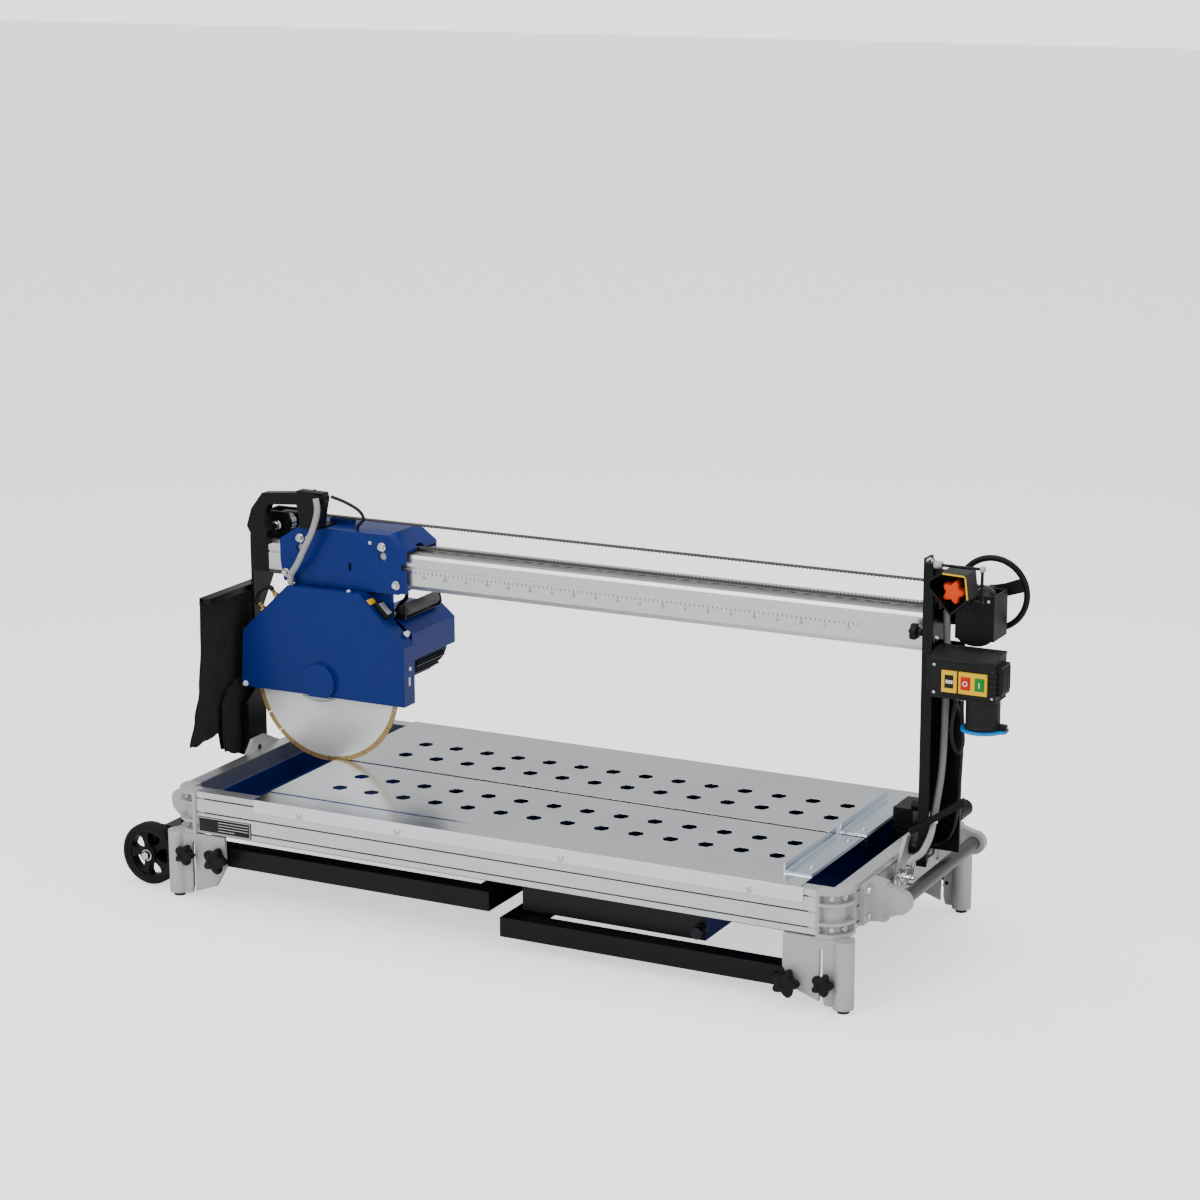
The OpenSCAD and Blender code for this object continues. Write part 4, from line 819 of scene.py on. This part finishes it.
def makeLaser():
    bm = bmesh.new()
    slopeBox(bm, (-451, 350), 45, 0, 40, -10, 14, 2.2, 15, 2.2)
    slopeBox(bm, (-451, 350), 45, 34, 40.5, -6, 10, 4, 12, 1.2)
    putPiece(bm, "laserCase", "carriage", "black_plastic", None, ("laser",))
    bm = bmesh.new()
    slopeBox(bm, (-451, 350), 45, 6, 36, -7, 11, 14.8, 16.2, 0.4)
    putPiece(bm, "laserLid", "carriage", "screw_steel", "alloyGrey")
    bm = bmesh.new()
    slopeBox(bm, (-451, 350), 45, -16, -3, -16, 10, 1.6, 3.0, 0.4)
    putPiece(bm, "chamferPatch", "carriage", "yellow_plate")


def makeWaterFittings():
    bm = bmesh.new()
    way = Vector((-sin(radians(43.5)), 0, cos(radians(43.5))))
    for x, z in ((-689, 340), (-723, 308)):
        addLathe(bm, (x, 0, z), way, [(0, 0.4), (8.2, 0.4), (8.2, 8.4), (7.2, 9.4), (0, 9.4)], 24,
                 shape=hexShape)
        addLathe(bm, (x, 0, z), way, [(0, 9), (5.2, 9), (5.2, 13), (4.0, 13.5), (5.0, 15.5), (3.9, 16),
                                      (4.9, 18), (3.6, 19), (3.6, 22.6), (0, 22.6)], 20)
    putPiece(bm, "brassFittings", "carriage", "brass", None, ("water_fittings",))
    bm = bmesh.new()
    tip = [Vector((x, 0, z)) + way * 21 for x, z in ((-689, 340), (-723, 308))]
    run = smoothRun([tip[0], tip[0] + way * 9, (tip[0] + tip[1]) / 2 + way * 17, tip[1] + way * 9, tip[1]], 8)
    addTube(bm, run, 5.0, 12)
    putPiece(bm, "waterHose", "carriage", "black_plastic", "leadBlack", angle=80)


def makeGrip():
    gx, gz = -407.0, 334.0
    bm = bmesh.new()
    prof = [(0, 0), (10, 0), (12.4, 1.6), (13, 4)] + [(13 - 0.5 * sin(pi * k / 10), 4 + 12.2 * k)
                                                      for k in range(1, 10)]
    prof += [(13, 126), (12.4, 128.4), (10, 130), (0, 130)]
    addLathe(bm, (gx, 46, gz), "y", prof, 32)
    foam = putPiece(bm, "gripFoam", "carriage", "black_plastic", "foam", ("head_grip",), angle=60)
    bm = bmesh.new()
    addLathe(bm, (gx, 36, gz), "y", [(0, 0), (6, 0), (6, 150), (0, 150)], 20)
    for y in (34, 180):
        addPrism(bm, [(gx - 9, gz + 8), (gx - 5, gz + 11), (gx + 5, gz + 11), (gx + 9, gz + 8),
                      (gx + 12, gz - 8), (-399, 316.4), (-425, 316.4), (gx - 12, gz - 8)],
                 "y", y, y + 6, 0.7)
    addBox(bm, -435, -399, 34, 186, 316.2, 319.2, 0.8)
    for y in (33, 187):
        addHexBolt(bm, (gx, y, gz), "-y" if y < 100 else "y", 10, 4)
    putPiece(bm, "gripArms", "carriage", "black_paint")


def makeMotorDetail():
    bm = bmesh.new()
    # cooling ribs between the plain ones
    mx, mz = -455.0, 232.0
    for k in range(44):
        a = 2 * pi * k / 44
        if abs(((a / (pi / 8)) + 0.5) % 1 - 0.5) < 0.22:
            continue
        u = Vector((cos(a), 0, sin(a)))
        w = Vector((-sin(a), 0, cos(a))) * 0.9
        ring = [Vector((mx, y, mz)) + u * r + w * s for y in (76, 188) for r, s in
                ((57, -1), (57, 1), (64.5, 0.6), (64.5, -0.6))]
        v = [bm.verts.new(at(*p)) for p in ring]
        for f in ((0, 1, 2, 3), (7, 6, 5, 4), (0, 4, 5, 1), (1, 5, 6, 2), (2, 6, 7, 3), (3, 7, 4, 0)):
            bm.faces.new([v[i] for i in f])
    addLathe(bm, (mx, 194, mz), "y", [(0, 0), (58, 0), (60, 2), (60, 10), (54, 14), (18, 15), (0, 15)], 48)
    putPiece(bm, "motorRibs", "carriage", "motor_dark")
    bm = bmesh.new()
    addHexBolt(bm, (-571, 62.4, 171), "y", 18, 8)
    for x, z in ((-600, 186), (-590, 142), (-545, 140), (-430, 272), (-480, 272)):
        addSocketBolt(bm, (x, 62, z), "y", 8, 5)
    putPiece(bm, "driveBolts", "carriage", "screw_steel")


def makeYokeTrim():
    bm = bmesh.new()
    # bent end plate and clamp of the arched arm
    addPrism(bm, [(-630, 577), (-628, 581), (-566, 580), (-562, 566), (-566, 566), (-569, 577)], "y", -13, 13, 0.5)
    addBox(bm, -574, -558, -20, 4, 559, 563, 1.0)
    putPiece(bm, "yokeCap", "carriage", "black_paint")
    bm = bmesh.new()
    for x, z in ((-733, 470), (-748, 494), (-741, 520), (-725, 545)):
        addLathe(bm, (x, -12, z), "-y", [(0, -0.3), (4.2, -0.3), (4.2, 0.5), (3.2, 0.6), (3.0, -0.2), (0, -0.25)], 18)
    for p in ((-566, -18, 570), (-600, 13, 578)):
        addSocketBolt(bm, p, "-y" if p[1] < 0 else "y", 6, 3)
    putPiece(bm, "yokeRivets", "carriage", "black_plastic")


makeHoodBolts()
makeHoodWindows()
makeGuardTrim()
makeLaser()
makeWaterFittings()
makeGrip()
makeMotorDetail()
makeYokeTrim()
print("saw: head pieces")

# right mast: knobs, guard trim, switches, handwheel
mast = {"webX": 781.2, "foldX": 795.2}


def makeKnobs():
    for name, body, centre, axis, size, height, look in (
            ("brakeKnob", "brake_knob", (846, -24, 526), "-y", 50, 26, "orange_plastic"),
            ("mastKnob", "mast_knob", (761.2, -2, 430), "-x", 34, 16, "black_plastic")):
        bm = bmesh.new()
        addKnob(bm, centre, axis, size, height)
        d = axisFrame(axis)[0]
        base = Vector(centre) - d * 8
        addLathe(bm, base, [-c for c in d], [(0, 0), (5, 0), (5, 9), (0, 9)], 20)
        putPiece(bm, name, body, look, None, (body,))
    for kind, x, z, size in (("pivot", -640, -138, 58), ("pivot", 640, -186, 58), ("lock", -715, -136, 46),
                             ("lock", 715, -178, 46)):
        for side, letter in ((-1, "f"), (1, "b")):
            node = f"{kind}_knob_{letter}{'l' if x < 0 else 'r'}"
            bm = bmesh.new()
            addKnob(bm, (x, side * 330.3, z), "-y" if side < 0 else "y", size, 20)
            stud = 16 if kind == "pivot" else 9
            addLathe(bm, (x, side * 322.3, z), "y" if side < 0 else "-y",
                     [(0, -1), (4.9 if kind == "pivot" else 3.9, -1), (4.9 if kind == "pivot" else 3.9, stud),
                      (0, stud)], 20)
            putPiece(bm, node + "Grip", node, "black_plastic", None, (node,))


def makeMastTrim():
    bm = bmesh.new()
    for y, z in ((-4, 556), (-2, 520), (-2, 492), (0, 452), (34, 410), (30, 60), (30, -14)):
        addHexBolt(bm, (mast["webX"], y, z), "x", 10, 5)
    addLathe(bm, (789, -18, 575), "-y", [(0, 0), (7, 0), (7, 6), (5.5, 7.5), (0, 7.5)], 24)
    # screws along the drive housing
    for x, z in ((840, 498), (892, 498)):
        addPanScrew(bm, (x, 22, z), "-y", 7, 2.4)
    putPiece(bm, "mastBolts", "bridge", "screw_steel")
    bm = bmesh.new()
    addLathe(bm, (806, -42, 575), "x", [(0, 0), (6.5, 0), (7.5, 2), (7.5, 14), (6.5, 16), (0, 16)], 24)
    addLathe(bm, (901, -42, 575), "x", [(0, -3), (6, -3), (6, 5), (0, 5)], 20)
    putPiece(bm, "bailBush", "bridge", "pulley_steel", "alloyGrey")
    bm = bmesh.new()
    addPrism(bm, [(829, 565.4), (873, 563.6), (875, 560.3), (829.5, 562.2)], "y", -62.4, -8, 0.2)
    addPrism(bm, [(876.3, 560), (881.6, 518), (878.2, 518), (873.2, 560)], "y", -62.5, -14, 0.2)
    putPiece(bm, "guardStripes", "bridge", "yellow_plate")


def makeHandwheel():
    x, y, z = 866.0, 118.0, 491.5
    bm = bmesh.new()
    ring = [(69 + 6.2 * cos(2 * pi * k / 16), 6.2 * sin(2 * pi * k / 16)) for k in range(16)]
    addLathe(bm, (x, y, z), "y", ring, 96, loop=True)
    putPiece(bm, "wheelRim", "handwheel", "black_plastic", None, ("handwheel",), angle=80)
    bm = bmesh.new()
    for a in (20, 200):
        before = set(bm.verts)
        addPrism(bm, [(x + 8, z - 15), (x + 30, z - 12.5), (x + 66, z - 13.5), (x + 66, z + 13.5),
                      (x + 30, z + 12.5), (x + 8, z + 15)], "y", y - 5, y + 4, 1.5)
        made = [v for v in bm.verts if v not in before]
        bmesh.ops.rotate(bm, verts=made, cent=at(x, 0, z), matrix=Matrix.Rotation(radians(-a), 3, "Y"))
    addLathe(bm, (x, 98, z), "y", [(0, 0), (15, 0), (17, 2), (17, 22), (15, 25), (0, 25)], 36)
    putPiece(bm, "wheelSpokes", "handwheel", "black_plastic")
    bm = bmesh.new()
    addLathe(bm, (x, 123, z), "y", [(0, 0), (11, 0), (11, 2), (9, 3), (0, 3)], 30)
    addLathe(bm, (x, 18, z), "y", [(0, 0), (7, 0), (8, 1), (8, 82), (0, 82)], 28)
    teeth = 18
    addLathe(bm, (x, 58, z), "y", [(0, 0), (21, 0), (21, 20), (0, 20)], 144,
             shape=lambda t: 1.0 if sin(teeth * t) > 0 else 0.93)
    putPiece(bm, "drivePulley", "handwheel", "pulley_steel")
    bm = bmesh.new()
    addLathe(bm, (x, 18.4, z), "-y", [(0, 0), (8.6, 0), (8.6, 3), (7.2, 4.4), (0, 4.4)], 28)
    putPiece(bm, "shaftCap", "handwheel", "black_plastic")


def makeIdler():
    bm = bmesh.new()
    addHexBolt(bm, (-708, 32, 491.5), "-y", 13, 7)
    addPanScrew(bm, (-728, 40, 470), "-y", 8, 3)
    addPanScrew(bm, (-728, 96, 470), "y", 8, 3)
    addHexBolt(bm, (-708, 100, 491.5), "y", 13, 7)
    putPiece(bm, "idlerBolts", "bridge", "screw_steel")
    bm = bmesh.new()
    addLathe(bm, (-708, 59, 491.5), "y", [(6.1, 0), (21, 0), (21, 18), (6.1, 18)], 144, loop=True,
             shape=lambda t: 1.0 if sin(18 * t) > 0 else 0.95)
    putPiece(bm, "idlerTeeth", "idler_pulley", "pulley_steel", None, ("idler_pulley",))


def makeSwitches():
    bm = bmesh.new()
    # lid seam, corner screws and side block
    addPrism(bm, [(-51.2, 320.5), (9, 320.5), (9, 324.5), (-51.2, 324.5)], "x", 805, 937, 0.5)
    addPrism(bm, [(-51.5, 393.5), (-50, 398.5), (-29, 410.6), (9.2, 410.6), (9.2, 406), (-28, 406),
                  (-49, 393.5)], "x", 805, 937, 0.5)
    for k in range(5):
        addBox(bm, 945.6, 947.4, -40 + 9 * k, -35 + 9 * k, 340, 386, 0.5)
    addLathe(bm, (902, -20, 263.6), "z", [(28, 0), (35, 0), (35.5, 3), (34, 6), (33, 8), (33, 20), (28, 20)],
             48, loop=True)
    putPiece(bm, "boxTrim", "bridge", "box_plastic")
    bm = bmesh.new()
    for x in (813, 929):
        for z in (330, 384):
            addPanScrew(bm, (x, -50, z), "-y", 6.5, 2)
    for x in (833, 857):
        for z in (337, 373):
            addPanScrew(bm, (x, -55.2, z), "-y", 3, 1)
    putPiece(bm, "boxScrews", "bridge", "screw_steel")
    bm = bmesh.new()
    addBox(bm, 836.4, 853.6, -54.6, -53.4, 342.4, 367.6, 0.3)
    putPiece(bm, "counterWindow", "bridge", "plate_black")
    bm = bmesh.new()
    for k in range(4):
        addBox(bm, 838.4 + 3.7 * k, 840.9 + 3.7 * k, -54.9, -54.5, 351, 358, 0.1)
    putPiece(bm, "counterDrums", "bridge", None, "markWhite")
    for name, body, x, look in (("stopPad", "stop_button", 869, "red_plastic"),
                                ("startPad", "start_button", 897, "green_plastic")):
        bm = bmesh.new()
        addBox(bm, x, x + 18, -58, -44, 343, 367, 2.0, 3)
        putPiece(bm, name, body, look, None, (body,))
        bm = bmesh.new()
        if body == "stop_button":
            addLathe(bm, (x + 9, -58, 355), "-y", [(3.4, -0.2), (5.2, -0.2), (5.2, 0.35), (3.4, 0.35)], 28,
                     loop=True)
        else:
            addBox(bm, x + 8, x + 10, -58.35, -57.8, 350, 360, 0.1)
        putPiece(bm, name + "Mark", body, None, "markWhite")
    bm = bmesh.new()
    for x, y in ((846, -8), (857, -10)):
        addLathe(bm, (x, y, 321.8), "-z", [(0, 0), (5.3, 0), (5.3, 6), (4.8, 8), (4.8, 13), (3.6, 14), (0, 14)], 24)
    addLathe(bm, (832, 2, 321.8), "-z", [(0, 0), (7, 0), (7, 6), (5.5, 11), (0, 11)], 24)
    putPiece(bm, "cableGlands", "bridge", "brass")


def makeTap():
    x = 778.0
    bm = bmesh.new()
    addBox(bm, 756.2, 768, -90, -50, -52, -30, 1.5)
    addLathe(bm, (760, -70, -40), "x", [(0, 0), (9, 0), (10, 1), (10, 9), (8, 11), (8, 15), (9.5, 16.5),
                                        (9.5, 24), (8, 25.5), (0, 25.5)], 30)
    addLathe(bm, (x, -70, -16), "-z", [(0, 0), (6, 0), (7.2, 1.5), (7.2, 30), (9.2, 34), (9.2, 42), (2.4, 56),
                                       (0, 56)], 30)
    putPiece(bm, "tapCasting", "frame", "tap_chrome", None, ("tap_body",))
    bm = bmesh.new()
    addLathe(bm, (785.8, -70, -40), "x", [(0, 0), (6, 0), (6, 5), (4.5, 6.4), (0, 6.4)], 24)
    addPrism(bm, [(-73.5, -40), (-66.5, -40), (-65.6, -14), (-67, -6), (-73, -6), (-74.4, -14)], "x", 786.1,
             789.1, 0.8)
    putPiece(bm, "tapHandle", "tap_lever", "tap_chrome", None, ("tap_lever",))


makeKnobs()
makeMastTrim()
makeHandwheel()
makeIdler()
makeSwitches()
makeTap()
print("saw: mast pieces")

# frame: screws, plate, wheels
frameTrim = {"stripScrewX": (-440, -210, 158, 558), "grooveZ": (-14, -44, -75)}


def makeFrameScrews():
    bm = bmesh.new()
    for side in (-1, 1):
        for x in frameTrim["stripScrewX"]:
            addPanScrew(bm, (x, side * 325.2, -18), "-y" if side < 0 else "y", 13, 4.2)
        for y in (40, 220):
            addPanScrew(bm, (640, side * y, 6.2), "z", 11, 3)
        for z in (-20, -72):
            addHexBolt(bm, (758, side * 229, z), "x", 12, 6)
    for sx in (-1, 1):
        for sy in (-1, 1):
            for z in (-76, -15):
                for a in (25, 65):
                    way = Vector((sx * cos(radians(a)), sy * sin(radians(a)), 0))
                    c = Vector((sx * 706, sy * 280, z)) + way * 32
                    addLathe(bm, c, way, [(0, 0), (5.5, 0), (5.5, 7), (4.8, 8), (3, 8), (2.6, 4), (0, 4)], 24)
    putPiece(bm, "frameBolts", "frame", "screw_steel", None, ("frame_screws",))


def makeGrooveShade():
    # painted shade: dark strips in the bottom of the rail grooves, where shade falls
    bm = bmesh.new()
    for side in (-1, 1):
        near, far = sorted((side * 318.1, side * 319.7))
        for z in frameTrim["grooveZ"]:
            addBox(bm, -676, 676, near, far, z - 1.4, z + 1.4)
    putPiece(bm, "railGroovePaintedShade", "frame", "plate_black")


def makeRatingPlate():
    bm = bmesh.new()
    addBox(bm, -690, -560, -323.2, -322, -86, -52, 0.5)
    putPiece(bm, "blankPlate", "frame", "plate_black", None, ("rating_plate",))
    bm = bmesh.new()
    for x0, x1, z0, z1 in ((-688, -562, -54.4, -53.6), (-688, -562, -84.4, -83.6), (-688, -687.2, -84, -54),
                           (-562.8, -562, -84, -54), (-640, -566, -60.5, -59.7), (-640, -566, -66.5, -65.7),
                           (-640, -566, -72.5, -71.7), (-640, -600, -78.5, -77.7)):
        addBox(bm, x0, x1, -323.5, -323.1, z0, z1)
    putPiece(bm, "plateLines", "frame", None, "markWhite")


def makeWheels():
    wheel = {"x": -838.0, "z": -166.0, "face": 300.0, "wide": 36.0, "radius": 66.0}
    for side, node in ((-1, "wheel_front"), (1, "wheel_back")):
        axis = "y" if side < 0 else "-y"
        c = (wheel["x"], side * wheel["face"], wheel["z"])
        w = wheel["wide"]
        bm = bmesh.new()
        addLathe(bm, c, axis, [(54, 3), (58, 1), (63, 2.5), (66, 7), (66, w - 7), (63, w - 2.5), (58, w - 1),
                               (54, w - 3)], 96, loop=True)
        for k in range(48):
            a = 2 * pi * k / 48
            u = Vector((cos(a), 0, sin(a)))
            t = Vector((-sin(a), 0, cos(a)))
            sign = -side
            p = [Vector(c) + u * r + t * s + Vector((0, sign * y, 0)) for y in (10, w - 10)
                 for r, s in ((65.6, -1.6), (65.6, 1.6), (66.4, 1.2), (66.4, -1.2))]
            v = [bm.verts.new(at(*q)) for q in p]
            for f in ((0, 1, 2, 3), (7, 6, 5, 4), (0, 4, 5, 1), (1, 5, 6, 2), (2, 6, 7, 3), (3, 7, 4, 0)):
                bm.faces.new([v[i] for i in f])
        # hub, web and five broad spokes with teardrop gaps
        addLathe(bm, c, axis, [(6.1, 0), (16, 0), (18, 2), (18, w - 2), (16, w), (6.1, w)], 40, loop=True)
        addLathe(bm, c, axis, [(47, 6), (54.5, 4), (54.5, w - 4), (47, w - 6)], 96, loop=True)
        for k in range(5):
            a0 = 2 * pi * k / 5 + 0.63
            ring = []
            for y in (8, w - 8):
                for r, half in ((16.5, 9.5), (26, 6.0), (38, 7.5), (48, 15)):
                    for sgn in (-1, 1):
                        ang = a0 + sgn * half / r
                        ring.append(bm.verts.new(at(c[0] + r * cos(ang), c[1] - side * y,
                                                    c[2] + r * sin(ang))))
            for j in range(3):
                o = 2 * j
                bm.faces.new([ring[i] for i in (o, o + 1, o + 3, o + 2)])
                bm.faces.new([ring[i] for i in (o + 8, o + 10, o + 11, o + 9)])
                bm.faces.new([ring[i] for i in (o, o + 2, o + 10, o + 8)])
                bm.faces.new([ring[i] for i in (o + 1, o + 9, o + 11, o + 3)])
            bm.faces.new([ring[i] for i in (0, 8, 9, 1)])
            bm.faces.new([ring[i] for i in (6, 7, 15, 14)])
        putPiece(bm, node + "Rim", node, "wheel_rubber", None, (node,))
        bm = bmesh.new()
        addHexBolt(bm, (wheel["x"], side * 302, wheel["z"]), "-y" if side < 0 else "y", 16, 6)
        putPiece(bm, node + "Bolt", "frame", "screw_steel")


def makePumpTrim():
    bm = bmesh.new()
    for k in range(7):
        addBox(bm, 669, 713, 118.8, 201.2, -66 + 12 * k, -62 + 12 * k, 0.6)
    addLathe(bm, (804, 98.4, 40), "y", [(0, 0), (15, 0), (17.6, 2), (17.6, 12), (17.1, 60), (17.6, 62),
                                        (17.6, 64), (0, 64)], 36)
    putPiece(bm, "pumpRibs", "frame", "black_plastic")
    bm = bmesh.new()
    addLathe(bm, (768, 130, 40), "x", [(11.1, 0), (12.6, 0), (12.6, 9), (11.1, 9)], 30, loop=True)
    addBox(bm, 769, 775, 124, 136, 51.5, 56, 0.6)
    putPiece(bm, "hoseClamp", "frame", "screw_steel")


makeFrameScrews()
makeGrooveShade()
makeRatingPlate()
makeWheels()
makePumpTrim()
print("saw: frame pieces")

# floor and light


studio = {"ambient": 0.62, "backdrop": 2.1, "floorGlow": 1.05}


def makeStudio():
    bpy.ops.mesh.primitive_plane_add(size=60, location=(0, 0, -0.0005))
    floor = bpy.context.object
    floor.name = "floor"
    paper = finish("paleFloor", (0.93, 0.93, 0.93), (0.95, 0.95, 0.95), 0.7, 0.05, scale=20, bump=0.01)
    tree = paper.node_tree
    shader = tree.nodes["Principled BSDF"]
    shader.inputs["Emission Color"].default_value = (1, 1, 1, 1)
    seen = tree.nodes.new("ShaderNodeLightPath")
    tree.links.new(mathNode(tree, "MULTIPLY", seen.outputs["Is Camera Ray"], studio["floorGlow"]),
                   shader.inputs["Emission Strength"])
    floor.data.materials.append(paper)
    world = bpy.data.worlds.new("studio")
    bpy.context.scene.world = world
    world.use_nodes = True
    tree = world.node_tree
    tree.nodes["Background"].inputs[0].default_value = (1, 1, 1, 1)
    path = tree.nodes.new("ShaderNodeLightPath")
    tree.links.new(rangeNode(tree, path.outputs["Is Camera Ray"], 0.0, 1.0, studio["ambient"], studio["backdrop"]),
                   tree.nodes["Background"].inputs[1])
    lamps = [("keyLight", (-1.6, -4.2, 3.6), 3.0, 120), ("fillLight", (4.2, -2.2, 2.4), 2.6, 50),
             ("topLight", (0.2, 0.6, 4.2), 3.6, 90)]
    for name, place, size, power in lamps:
        data = bpy.data.lights.new(name, "AREA")
        data.shape = "SQUARE"
        data.size = size
        data.energy = power
        lamp = bpy.data.objects.new(name, data)
        lamp.location = place
        lamp.rotation_euler = (Vector((0, 0, 0.4)) - Vector(place)).to_track_quat("-Z", "Y").to_euler()
        bpy.context.scene.collection.objects.link(lamp)


makeStudio()
print("saw: floor and lights")
